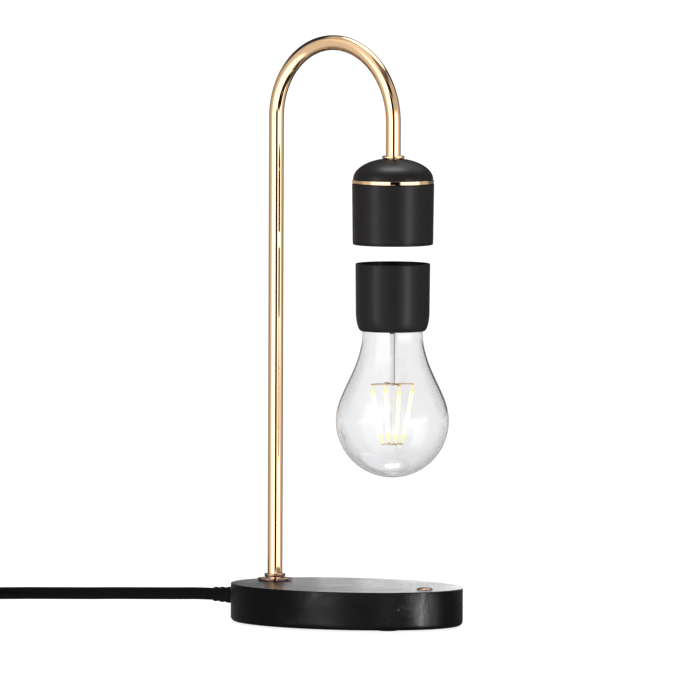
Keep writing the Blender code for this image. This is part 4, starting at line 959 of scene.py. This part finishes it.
def make_tie(centre, outer):
    """A flat band closed round the bundle of turns, with softly rounded edges."""
    clear = CORD_DIAMETER / 2 + CLEAR
    bottom = COIL_FLOOR_HEIGHT + TIE_LIFT
    low = (outer - COIL_PITCH * COIL_TURNS / 2 - clear, bottom - clear)
    high = (outer + clear, bottom + COIL_PITCH + clear)
    edge = TIE_THICKNESS * TIE_EDGE_SHARE
    section = rounded([
        (0, -TIE_HALF_WIDTH, edge), (TIE_THICKNESS, -TIE_HALF_WIDTH, edge),
        (TIE_THICKNESS, TIE_HALF_WIDTH, edge), (0, TIE_HALF_WIDTH, edge),
    ], SMALL_ARC_STEPS, closed=True)
    loops = []
    for out, along in section:
        loops.append([(p[0], along, p[1]) for p in frame_loop(low, high, TIE_CORNER, out)])
    tie = loft("lead_tie", loops, ring=True)
    tie.data.transform(Matrix.Translation(centre) @ Matrix.Rotation(math.radians(TIE_ANGLE), 4, "Z"))
    return dress(tie, "lamp", "rubber", ("coil_tie",))


# Plug
def make_plug():
    """The plug-in adapter: a hollow case, a cover with two blades, and a short sleeve for the lead."""
    case, cover = make_plug_case(), make_plug_cover()
    return [case, make_plug_blade(1), make_plug_blade(2), cover, make_plug_sleeve()]


def block(name, x_section, low, high):
    """A block lying along X, from its lengthwise section of (inset, x) points."""
    loops = []
    for inset, x in x_section:
        outline = frame_loop((low[1], low[2]), (high[1], high[2]), PLUG_CORNER, -inset)
        loops.append([(x, p[0], p[1]) for p in outline])
    return loft(name, loops)


def plug_end_inset():
    return middle_and_half("adapter_case")[1][2] * PLUG_END_SHARE


def make_plug_case():
    low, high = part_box("adapter_case")
    seam, front = low[0], high[0]
    section = rounded([
        (plug_end_inset(), front, 0), (0, front, PLUG_EDGE), (0, seam + PLUG_SEAM, 0), (PLUG_SEAM, seam, 0),
        (PLUG_WALL, seam, 0), (PLUG_WALL, front - PLUG_WALL, 0),
    ])
    return dress(block("plug_case", section, low, high), "lamp", "case_black", ("adapter_case",))


def make_plug_cover():
    """The cover, with a slot for each blade."""
    low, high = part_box("adapter_cover")
    back, seam = low[0], high[0]
    section = rounded([
        (plug_end_inset(), back, 0), (0, back, PLUG_EDGE), (0, seam - PLUG_SEAM, 0), (PLUG_SEAM, seam, 0),
        (plug_end_inset(), seam, 0),
    ])
    cover = block("plug_cover", section, low, high)
    for node in ("adapter_blade_1", "adapter_blade_2"):
        middle, half = middle_and_half(node)
        thick, wide = half[1] + CLEAR, half[2] + CLEAR
        places = [
            (middle[1] + side * thick, middle[2] + level * wide)
            for side, level in ((-1, -1), (1, -1), (1, 1), (-1, 1))
        ]
        ends = (back - OVERCUT, middle[0] + half[0] + CLEAR)
        cut(cover, loft("slot", [[(x, *place) for place in places] for x in ends]))
    return dress(cover, "lamp", "case_black", ("adapter_cover",))


def make_plug_blade(number):
    """A flat blade with a tapered tip, eased edges and a round hole."""
    node = f"adapter_blade_{number}"
    low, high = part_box(node)
    middle, half = middle_and_half(node)
    stations = [(low[0] + BLADE_TIP * along, thick, wide) for along, thick, wide in BLADE_TIP_SHARES]
    loops = []
    for x, thick_share, wide_share in stations + [(high[0], 1, 1)]:
        thick, wide = half[1] * thick_share, half[2] * wide_share
        edge = thick * BLADE_EDGE_SHARE
        corners = [(-thick, -wide, edge), (thick, -wide, edge), (thick, wide, edge), (-thick, wide, edge)]
        outline = rounded(corners, SMALL_ARC_STEPS, closed=True)
        loops.append([(x, middle[1] + p[0], middle[2] + p[1]) for p in outline])
    hole_x = low[0] + BLADE_HOLE_FROM_TIP
    near, far = (hole_x, middle[1] - OVERCUT, middle[2]), (hole_x, middle[1] + OVERCUT, middle[2])
    blade = cut(loft(f"plug_blade_{number}", loops), bar("hole", near, far, BLADE_HOLE))
    return dress(blade, "lamp", "steel", (node,))


def make_plug_sleeve():
    low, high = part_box("adapter_boot")
    middle, half = middle_and_half("adapter_boot")
    ribbed = sleeve("plug_sleeve", low[0], high[0], middle[2], half[2], PLUG_SLEEVE_RIBS)
    return dress(ribbed, "lamp", "rubber", ("adapter_boot",))


# Base and button
def make_base():
    """One oval block, hollowed from below, with a crisp top edge and a soft lower one."""
    low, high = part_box("base_shell")
    half_x, half_y, top = high
    foot, ceiling = low[2], top - TOP_THICKNESS
    section = rounded([
        (TOP_RIM, top, 0), (0, top, TOP_ROUNDING), (0, foot, SIDE_ROUNDING),
        (BASE_WALL, foot, TOP_ROUNDING), (BASE_WALL, ceiling, 0),
    ])
    angles = [2 * math.pi * i / OVAL_STEPS for i in range(OVAL_STEPS)]
    body = loft("base_body", [
        [((half_x - inset) * math.cos(a), (half_y - inset) * math.sin(a), height) for a in angles]
        for inset, height in section
    ])
    for x, y in POST_PLACES:
        cut(body, bar("post", (x, y, POST_FOOT), (x, y, ceiling + POST_SINK), POST_RADIUS), "UNION")
        cut(body, bar("bore", (x, y, POST_FOOT - OVERCUT), (x, y, SCREW_BORE_TOP), SCREW_BORE))
    button_middle, lip_radius, _, _ = upright("power_button")
    for x, bore in ((TUBE_X, RING_BORE), (button_middle[0], lip_radius - BUTTON_LIP + CLEAR)):
        cut(body, bar("bore", (x, 0, ceiling - OVERCUT), (x, 0, top + OVERCUT), bore, TURN_STEPS))
    outside, inside = -half_x - OVERCUT, -half_x + BASE_WALL + OVERCUT
    cut(body, bar("bore", (outside, 0, LEAD_HEIGHT), (inside, 0, LEAD_HEIGHT), LEAD_BORE))
    dress(body, "lamp", "black_wood", ("base_shell",))


def make_button():
    """A domed cap on a short stem, held under the base's top by its lip."""
    middle, lip_radius, foot, top = upright("power_button")
    radius, shoulder = lip_radius - BUTTON_LIP, top - BUTTON_CROWN
    lip_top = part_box("base_shell")[1][2] - TOP_THICKNESS - CLEAR
    lip_low = lip_top - BUTTON_LIP_THICKNESS
    section = []
    for i in range(BUTTON_CROWN_STEPS + 1):
        angle = math.pi / 2 * (1 - i / BUTTON_CROWN_STEPS)
        section.append((radius * math.cos(angle), shoulder + BUTTON_CROWN * math.sin(angle)))
    section += rounded([
        (radius, shoulder - BUTTON_SHOULDER, 0), (radius, lip_top, 0), (lip_radius, lip_top, EDGE),
        (lip_radius, lip_low, EDGE), (BUTTON_STEM, lip_low, 0), (BUTTON_STEM, foot, EDGE), (0, foot, 0),
    ])
    dress(turned("button_cap", section, middle), "button", "rose_gold", ("power_button",), ring_finish)


# Tube, its rings and the wiring
def hook_line(start, end, steps):
    """Points up the post from one level, over the half circle and down to another level."""
    points = [(TUBE_X, 0, start + (HOOK_LEVEL - start) * i / steps) for i in range(steps)]
    for i in range(HOOK_STEPS + 1):
        angle = math.pi * (1 - i / HOOK_STEPS)
        across = HOOK_RADIUS * (1 + math.cos(angle))
        points.append((TUBE_X + across, 0, HOOK_LEVEL + HOOK_RADIUS * math.sin(angle)))
    for i in range(1, HOOK_DROP_STEPS + 1):
        points.append((TUBE_X + 2 * HOOK_RADIUS, 0, HOOK_LEVEL + (end - HOOK_LEVEL) * i / HOOK_DROP_STEPS))
    return points


def make_tube():
    """A thin-walled tube: up the post, over one half circle and down into the head."""
    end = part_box("head_nut")[0][2] - TUBE_END_GAP
    points = hook_line(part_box("hook_tube")[0][2], end, TUBE_POST_STEPS)
    tube = round_line("hooked_tube", points, TUBE_RADIUS, TUBE_SIDES, finishes["rose_gold"], ends=False)
    wall = tube.modifiers.new("wall", "SOLIDIFY")
    wall.thickness = TUBE_WALL
    wall.offset = -1
    dress(smoothed(plain_mesh(tube)), "lamp", "rose_gold", ("hook_tube",))


def bored(bore, corners):
    """A ring's section, from the corners of its outer side, given from the top down."""
    high, low = corners[0][1], corners[-1][1]
    return rounded([(bore, high, FINE_EDGE)] + corners + [(bore, low, FINE_EDGE)], closed=True)


def make_foot_flange():
    middle, radius, low, high = upright("tube_flange")
    section = bored(RING_BORE, [(radius, high, FLANGE_ROUNDING), (radius, low, EDGE)])
    flange = turned("foot_flange", section, middle, ring=True)
    dress(flange, "lamp", "rose_gold", ("tube_flange",), ring_finish)


def make_foot_ring():
    """A rounded bead over a slightly narrower neck."""
    middle, radius, low, high = upright("tube_collar")
    bead_low = low + RING_NECK_HEIGHT
    bead = (high - bead_low) / 2 * RING_BEAD_SHARE
    section = bored(RING_BORE, [
        (radius, high, bead), (radius, bead_low, bead),
        (RING_NECK, bead_low, EDGE), (RING_NECK, low, FINE_EDGE),
    ])
    ring = turned("foot_ring", section, middle, ring=True)
    dress(ring, "lamp", "rose_gold", ("tube_collar",), ring_finish)


def make_head_ferrule():
    middle, radius, low, high = upright("head_collar")
    rounding = (high - low) / 2 * FERRULE_SHARE
    section = bored(RING_BORE, [(radius, high, rounding), (radius, low, rounding)])
    dress(turned("head_ferrule", section, middle, ring=True), "lamp", "rose_gold", ("head_collar",))


def make_inner_cable():
    """The cable from the base's board up through the tube to the head."""
    radius = WIRING_DIAMETER / 2
    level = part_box("tube_wiring")[0][2] + radius
    points = [(WIRING_START_X, 0, level)]
    for i in range(WIRING_BEND_STEPS):
        angle = math.radians(270 - 90 * i / WIRING_BEND_STEPS)
        across, up = WIRING_BEND * (1 + math.cos(angle)), WIRING_BEND * (1 + math.sin(angle))
        points.append((TUBE_X + across, 0, level + up))
    points += hook_line(level + WIRING_BEND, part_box("control_board")[1][2] + CLEAR, WIRING_POST_STEPS)
    cable = round_line("inner_cable", points, radius, CORD_SIDES, finishes["cord_black"])
    dress(cable, "lamp", "cord_black", ("tube_wiring",))


def make_inner_lead():
    """The lead's end inside the base, from the strain relief round the tube to the board."""
    low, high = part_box("inner_lead")
    side = high[1] - INNER_LEAD_RADIUS
    level, start_level = low[2] + INNER_LEAD_RADIUS, high[2] - INNER_LEAD_RADIUS
    bend_x, end_x = low[0] + INNER_LEAD_STRAIGHT, high[0] - INNER_LEAD_STRAIGHT
    points = even_points([
        (low[0], 0, start_level), (bend_x, 0, start_level),
        ((bend_x + TUBE_X) / 2, side / 2, (level + start_level) / 2),
        (TUBE_X, side, level), (end_x, side, level), (high[0], side, level),
    ], INNER_LEAD_SPACING)
    radius = INNER_LEAD_RADIUS * INNER_LEAD_SHARE
    lead = round_line("lead_in_base", points, radius, CORD_SIDES, finishes["cord_black"])
    dress(lead, "lamp", "cord_black", ("inner_lead",))


# Head
def dome_arc(radius, crown, low, top):
    """A dome's side from its foot up to a height, as part of an oval."""
    last = math.asin((top - low) / crown)
    angles = [last * i / DOME_STEPS for i in range(DOME_STEPS + 1)]
    return [(radius * math.cos(a), low + crown * math.sin(a)) for a in angles]


def make_head_cap():
    """The low dome with a hole for the tube, and its spigot inside the barrel."""
    middle, radius, _, top = upright("head_dome")
    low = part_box("head_trim_ring")[1][2] + CLEAR
    outer = dome_arc(radius, DOME_CROWN, low, top)
    inner = dome_arc(radius - DOME_WALL, DOME_CROWN - DOME_WALL, low, top - DOME_WALL)
    spigot_inner, spigot_low = SPIGOT_RADIUS - SPIGOT_WALL, low - SPIGOT_DEPTH
    inner = [p for p in inner if p[0] < spigot_inner]
    section = [(RING_BORE, top)] + outer[::-1] + [
        (SPIGOT_RADIUS, low), (SPIGOT_RADIUS, spigot_low),
        (spigot_inner, spigot_low), (spigot_inner, inner[0][1]),
    ] + inner + [(RING_BORE, top - DOME_WALL)]
    dress(turned("head_cap", section, middle, ring=True), "lamp", "satin_black", ("head_dome",))


def make_head_band():
    middle, radius, low, high = upright("head_trim_ring")
    section = bored(SPIGOT_RADIUS + CLEAR, [(radius, high, BAND_ROUNDING), (radius, low, BAND_ROUNDING)])
    dress(turned("head_band", section, middle, ring=True), "lamp", "rose_gold", ("head_trim_ring",))


def seam(radius, height):
    """A fine turned groove in a straight side, from its upper edge to its lower."""
    inner = radius - SEAM_DEPTH
    return [
        (radius, height + SEAM_HALF_WIDTH, 0), (inner, height + SEAM_FLOOR_HALF_WIDTH, 0),
        (inner, height - SEAM_FLOOR_HALF_WIDTH, 0), (radius, height - SEAM_HALF_WIDTH, 0),
    ]


def make_head_barrel():
    """The black cylinder: a closed foot, a fine seam, and a ledge inside for the electromagnet."""
    middle, radius, low, high = upright("head_shell")
    foot_radius, floor, ledge = radius - BARREL_TAPER, low + BARREL_WALL, high - BARREL_LEDGE_DROP
    inner_wall = radius - BARREL_WALL
    ledge_wall = inner_wall - BARREL_LEDGE
    section = rounded([
        (0, floor, 0), (ledge_wall, floor, 0), (ledge_wall, ledge, 0), (inner_wall, ledge, 0),
        (inner_wall, high, FINE_EDGE), (radius, high, BARREL_TOP_ROUNDING),
    ] + seam(foot_radius, low + SEAM_FROM_FOOT) + [(foot_radius, low, BARREL_ROUNDING), (0, low, 0)])
    dress(turned("head_barrel", section, middle), "lamp", "satin_black", ("head_shell",))


# Floating bulb
def make_cup():
    """A turned cup: a thin rim round a sunk lid, a straight side, and a rounded taper to the glass."""
    middle, rim, low, high = upright("bulb_cup")
    inner = rim - CUP_RIM_WALL
    lid_wall = inner - CUP_LEDGE
    lid_ledge = high - CUP_RECESS - LID_THICKNESS - CLEAR
    board_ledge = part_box("driver_board")[0][2] - CLEAR
    section = rounded([
        (NECK_BORE, low, 0), (NECK_BORE, board_ledge, 0), (lid_wall, board_ledge, 0),
        (lid_wall, lid_ledge, 0), (inner, lid_ledge, 0), (inner, high, CUP_RIM_INNER_ROUNDING),
        (rim, high, CUP_RIM_ROUNDING), (CUP_WAIST, low + CUP_TAPER, 0),
    ])
    for i in range(1, CUP_TAPER_STEPS + 1):
        angle = math.pi / 2 * i / CUP_TAPER_STEPS
        across = CUP_MOUTH + (CUP_WAIST - CUP_MOUTH) * math.cos(angle)
        section.append((across, low + CUP_TAPER * (1 - math.sin(angle))))
    dress(turned("bulb_holder", section, middle, ring=True), "bulb", "satin_black", ("bulb_cup",))


def make_lid():
    """The cup's sunk lid, with one fine groove round it."""
    middle, radius, low, high = upright("cup_lid")
    groove = LID_GROOVE_RADIUS
    section = rounded([
        (0, high, 0), (groove - LID_GROOVE, high, 0), (groove, high - LID_GROOVE, 0),
        (groove + LID_GROOVE, high, 0), (radius, high, LID_ROUNDING), (radius, low, EDGE), (0, low, 0),
    ])
    dress(turned("holder_lid", section, middle), "bulb", "case_black", ("cup_lid",))


def glass_outline(inset, mouth, lowest):
    """The bulb's section from the top of its throat down to its lowest point."""
    centre_z = lowest + GLASS_RADIUS
    join = math.asin(SPHERE_END_SHARE)
    start = Vector((GLASS_RADIUS * math.cos(join), centre_z + GLASS_RADIUS * math.sin(join)))
    end = Vector((GLASS_NECK, mouth))
    pull = mouth - start.y
    leave = start + Vector((-math.sin(join), math.cos(join))) * pull * NECK_PULL_LOW_SHARE
    arrive = end - Vector((0, 1)) * pull * NECK_PULL_HIGH_SHARE
    outline = [Vector((GLASS_THROAT, mouth + GLASS_THROAT_HEIGHT * share)) for share in (1, 0.5)]
    for i in range(GLASS_NECK_STEPS):
        t = 1 - i / GLASS_NECK_STEPS
        point = (1 - t)**3 * start + 3 * t * (1 - t)**2 * leave + 3 * t**2 * (1 - t) * arrive + t**3 * end
        outline.append(point)
    for i in range(GLASS_SPHERE_STEPS + 1):
        angle = join - (join + math.pi / 2) * i / GLASS_SPHERE_STEPS
        outline.append(Vector((GLASS_RADIUS * math.cos(angle), centre_z + GLASS_RADIUS * math.sin(angle))))
    moved = []
    for i, point in enumerate(outline):
        along = (outline[min(i + 1, len(outline) - 1)] - outline[max(i - 1, 0)]).normalized()
        moved.append(point + Vector((along.y, -along.x)) * inset)
    moved[0] = Vector((GLASS_THROAT - inset, outline[0].y))
    return moved[:-1] + [Vector((0, lowest + inset))]


def make_glass():
    """A thin-walled bulb, blown in one piece with its neck."""
    middle, _, lowest, _ = upright("bulb_glass")
    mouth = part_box("bulb_cup")[0][2]
    outer = glass_outline(0, mouth, lowest)
    inner = glass_outline(GLASS_WALL, mouth, lowest)
    dress(turned("bulb_envelope", inner[::-1] + outer, middle), "bulb", "clear_glass", ("bulb_glass",))


def make_stem():
    """A flare that narrows to a rod, and a thin tip below the upper cross."""
    middle, _, foot, top = upright("stem_glass")
    half_length = STEM_FLARE_LENGTH / 2
    shares = [i / STEM_FLARE_STEPS for i in range(1, STEM_FLARE_STEPS + 1)]
    section = [(0, top), (STEM_FLARE, top), (STEM_FLARE, top - STEM_FLARE_EDGE)]
    for share in shares:
        across = STEM_FLARE + (STEM_THROAT - STEM_FLARE) * math.sin(share * math.pi / 2)
        down = (half_length - STEM_FLARE_EDGE) * (share + eased(share)) / 2
        section.append((across, top - STEM_FLARE_EDGE - down))
    for share in shares:
        across = STEM_THROAT + (STEM_ROD - STEM_THROAT) * eased(share)
        section.append((across, top - half_length * (1 + share)))
    step = UPPER_CROSS[0] + STEM_STEP_RISE
    section += rounded([
        (STEM_ROD, step + STEM_STEP_LENGTH, 0), (STEM_ROD, step, STEM_ROUNDING), (STEM_TIP, step, 0),
        (STEM_TIP, foot, STEM_ROUNDING), (0, foot, 0),
    ])
    stem = turned("bulb_stem", section, middle, steps=SMALL_TURN_STEPS)
    dress(stem, "bulb", "clear_glass", ("stem_glass",), stem_finish)


def make_cross(name, node, height, reach):
    """Four bent wires round a small ring, at the bulb's middle."""
    middle = upright("bulb_glass")[0]
    wires = grown(name, [(0, 0, 0), (0, 0, CLEAR)], spokes_on_a_hub, {
        "Count": ROD_COUNT, "Turn": ROD_TURN, "Hub Radius": CROSS_HUB, "Reach": reach,
        "Wire Radius": CROSS_WIRE, "Bend": CROSS_BEND, "Centre": (*middle, height),
        "Sides": WIRE_SIDES, "Finish": finishes["cross_wire"],
    })
    dress(wires, "bulb", "cross_wire", (node,))


def make_glowing_rod(number):
    """A coated strip with a round end at each side and a wire pin beyond it."""
    angle = ROD_TURN + 2 * math.pi * number / ROD_COUNT
    across = Vector((math.cos(angle), math.sin(angle), 0))
    axis = Vector((*upright("bulb_glass")[0], 0))
    gap = CROSS_WIRE + CLEAR
    top = axis + across * (UPPER_CROSS[1] - PIN_RADIUS) + Vector((0, 0, UPPER_CROSS[0] - gap))
    foot = axis + across * (LOWER_CROSS[1] - PIN_RADIUS) + Vector((0, 0, LOWER_CROSS[0] + gap))
    length = (top - foot).length
    cap = ROD_RADIUS * ROD_CAP_SHARE
    section = rounded([
        (0, length, 0), (PIN_RADIUS, length, FINE_EDGE), (PIN_RADIUS, length - PIN_LENGTH, 0),
        (ROD_RADIUS, length - PIN_LENGTH, cap), (ROD_RADIUS, PIN_LENGTH, cap), (PIN_RADIUS, PIN_LENGTH, 0),
        (PIN_RADIUS, 0, FINE_EDGE), (0, 0, 0),
    ])
    rod = laid(turned(f"glowing_rod_{number + 1}", section, steps=ROD_SIDES), foot, top - foot)
    dress(rod, "bulb", "filament_glow", (f"filament_{number + 1}",))


def make_stem_lead(number):
    """A thin wire beside the stem, from the stem's throat to the upper cross."""
    node = f"filament_lead_{number}"
    middle, half = middle_and_half(node)
    line = []
    for i in range(STEM_LEAD_STEPS + 1):
        rise = -half[2] * math.cos(math.pi * i / STEM_LEAD_STEPS)
        line.append((middle[0], middle[1], middle[2] + rise))
    wire = round_line(f"stem_lead_{number}", line, half[0] * STEM_LEAD_SHARE, WIRE_SIDES, lead_finish)
    dress(wire, "bulb", "cross_wire", (node,), lead_finish)


# Nodes that keep their solids
def coat_kept_nodes():
    """The pieces inside, the feet and the screws keep their solids, and get their finishes."""
    for row in frame["record"]["subparts"]:
        node = frame["nodes"][row["node"]]
        if not node.hide_render:
            for slot in node.material_slots:
                slot.material = finishes[row["material_slot"]]


# Stage
def make_world():
    """White to the eye. What gloss sees is a studio round the lamp."""
    world = bpy.data.worlds.new("studio")
    bpy.context.scene.world = world
    world.use_nodes = True
    world.node_tree.nodes.clear()
    nodes = Nodes(world.node_tree)
    direction = nodes.add("ShaderNodeTexCoord").outputs["Generated"]
    front = nodes.measure("DOT_PRODUCT", direction, bearing(0, 0))
    right = nodes.measure("DOT_PRODUCT", direction, bearing(90, 0))
    up = nodes.add("ShaderNodeSeparateXYZ", {0: direction}).outputs[2]
    turn = nodes.math("DEGREES", nodes.math("ARCTAN2", right, front))
    rise = nodes.math("DEGREES", nodes.math("ARCSINE", up))
    middle = nodes.between(right, -BACK_MIDDLE_WIDTH, BACK_MIDDLE_WIDTH)
    behind = nodes.blend(middle, BACK_LEFT, BACK_RIGHT)
    behind = nodes.blend(nodes.between(rise, *BACK_FOOT_BETWEEN), BACK_FOOT, behind)
    for start, end, level in BACK_BANDS:
        behind = nodes.blend(nodes.between(rise, start, end), behind, level)
    studio = nodes.blend(nodes.between(front, *BACK_ENDS_BETWEEN), behind, SIDE_LEVEL)
    for sides, ends, soft, level in PANELS.values():
        inside = 1.0
        for value, (low, high) in ((turn, sides), (rise, ends)):
            inside = nodes.math("MULTIPLY", inside, nodes.between(value, low - soft, low + soft))
            inside = nodes.math("MULTIPLY", inside, nodes.between(value, high - soft, high + soft, 1.0, 0.0))
        studio = nodes.blend(inside, studio, level)
    near_high_box = nodes.measure("DOT_PRODUCT", direction, bearing(*HIGH_BOX_PLACE))
    studio = nodes.blend(nodes.between(near_high_box, *HIGH_BOX_COSINES), studio, HIGH_BOX_LEVEL)
    rays = nodes.add("ShaderNodeLightPath").outputs
    mirrored = nodes.math("GREATER_THAN", rays["Glossy Depth"], 0.5)
    mirrored = nodes.math("MULTIPLY", mirrored, nodes.math("SUBTRACT", 1.0, rays["Is Diffuse Ray"]))
    strength = nodes.blend(mirrored, MATT_LEVEL, studio)
    through = nodes.math("MULTIPLY", rays["Is Transmission Ray"], nodes.math("SUBTRACT", 1.0, mirrored))
    strength = nodes.blend(nodes.math("MAXIMUM", rays["Is Camera Ray"], through), strength, 1.0)
    light = nodes.add("ShaderNodeBackground", {"Color": (1, 1, 1, 1), "Strength": strength})
    nodes.add("ShaderNodeOutputWorld", {"Surface": light.outputs[0]})
    world.cycles.sampling_method = "NONE"


def make_floor():
    """A plain white floor that keeps a faint shadow."""
    corners = [(x * FLOOR_REACH, y * FLOOR_REACH, 0) for x, y in ((-1, -1), (1, -1), (1, 1), (-1, 1))]
    mesh = bpy.data.meshes.new("floor")
    mesh.from_pydata(corners, [], [(0, 1, 2, 3)])
    floor = show(bpy.data.objects.new("floor", mesh))
    made, _, shader = finish("floor_white", (FLOOR_GREY, FLOOR_GREY, FLOOR_GREY), 0.9, gloss=0.0)
    shader.inputs["Emission Color"].default_value = (1, 1, 1, 1)
    shader.inputs["Emission Strength"].default_value = FLOOR_GLOW
    mesh.materials.append(made)
    floor.visible_glossy = False
    floor.visible_shadow = False


def make_area_light(name, azimuth, elevation, size, power, distance, aim):
    """A soft box that looks at one spot."""
    data = bpy.data.lights.new(name, "AREA")
    data.shape = "RECTANGLE"
    data.size, data.size_y = size
    data.energy = power
    light = show(bpy.data.objects.new(name, data))
    back = bearing(azimuth, elevation)
    light.location = Vector(aim) + back * distance
    light.rotation_mode = "QUATERNION"
    light.rotation_quaternion = (-back).to_track_quat("-Z", "Y")
    return light


def make_strip(name, azimuth, elevation, size, power, finish_name, distance, aim, grid):
    """A soft box whose gloss reaches the pieces of one finish only, as if flags kept it off the rest.

    A grid on its front, in degrees, keeps a near one on the spot that it looks at.
    """
    strip = make_area_light(name, azimuth, elevation, size, power, distance, aim)
    strip.data.spread = math.radians(grid)
    strip.visible_camera = strip.visible_diffuse = strip.visible_transmission = False
    reached = bpy.data.collections.get(finish_name + "_pieces")
    if not reached:
        reached = bpy.data.collections.new(finish_name + "_pieces")
        for piece in bpy.data.objects:
            slots = piece.material_slots if piece.type == "MESH" else ()
            if any(slot.material == finishes[finish_name] for slot in slots):
                reached.objects.link(piece)
    strip.light_linking.receiver_collection = reached


def make_lights():
    """Strips for the black pieces, and a soft ceiling light."""
    for name, values in STRIPS.items():
        make_strip(name, *values)
    ceiling = make_area_light("ceiling_light", *CEILING_LIGHT)
    ceiling.data.shape = "DISK"
    ceiling.visible_glossy = False


def make_card():
    """A low row of panels behind the base, for its gloss alone: dim at the left, bright at the right."""
    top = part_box("base_shell")[1][2]
    for number, (left_edge, right_edge) in enumerate(zip(CARD_EDGES, CARD_EDGES[1:])):
        middle, width = (left_edge + right_edge) / 2, right_edge - left_edge
        height = CARD_HEIGHT[0] + CARD_HEIGHT[1] * middle
        level = min(max(CARD_LEVEL[0] + CARD_LEVEL[1] * middle, CARD_DIMMEST), CARD_BRIGHTEST)
        power = math.pi * level * width * height
        aim = bearing(90, 0) * middle + Vector((0, 0, top + height / 2))
        sides = (width, height)
        make_strip(f"card_{number}", 180, 0, sides, power, "black_wood", CARD_DISTANCE, aim, NO_GRID)


make_camera()
make_lead()
make_inner_cable()
make_inner_lead()
make_base()
make_button()
make_tube()
make_foot_flange()
make_foot_ring()
make_head_ferrule()
make_head_cap()
make_head_band()
make_head_barrel()
make_cup()
make_lid()
make_glass()
make_stem()
make_cross("upper_wires", "upper_cross", *UPPER_CROSS)
make_cross("lower_wires", "lower_cross", *LOWER_CROSS)
for rod_number in range(ROD_COUNT):
    make_glowing_rod(rod_number)
make_stem_lead(1)
make_stem_lead(2)
coat_kept_nodes()
make_world()
make_floor()
make_lights()
make_card()
bpy.context.scene.view_settings.view_transform = "Standard"
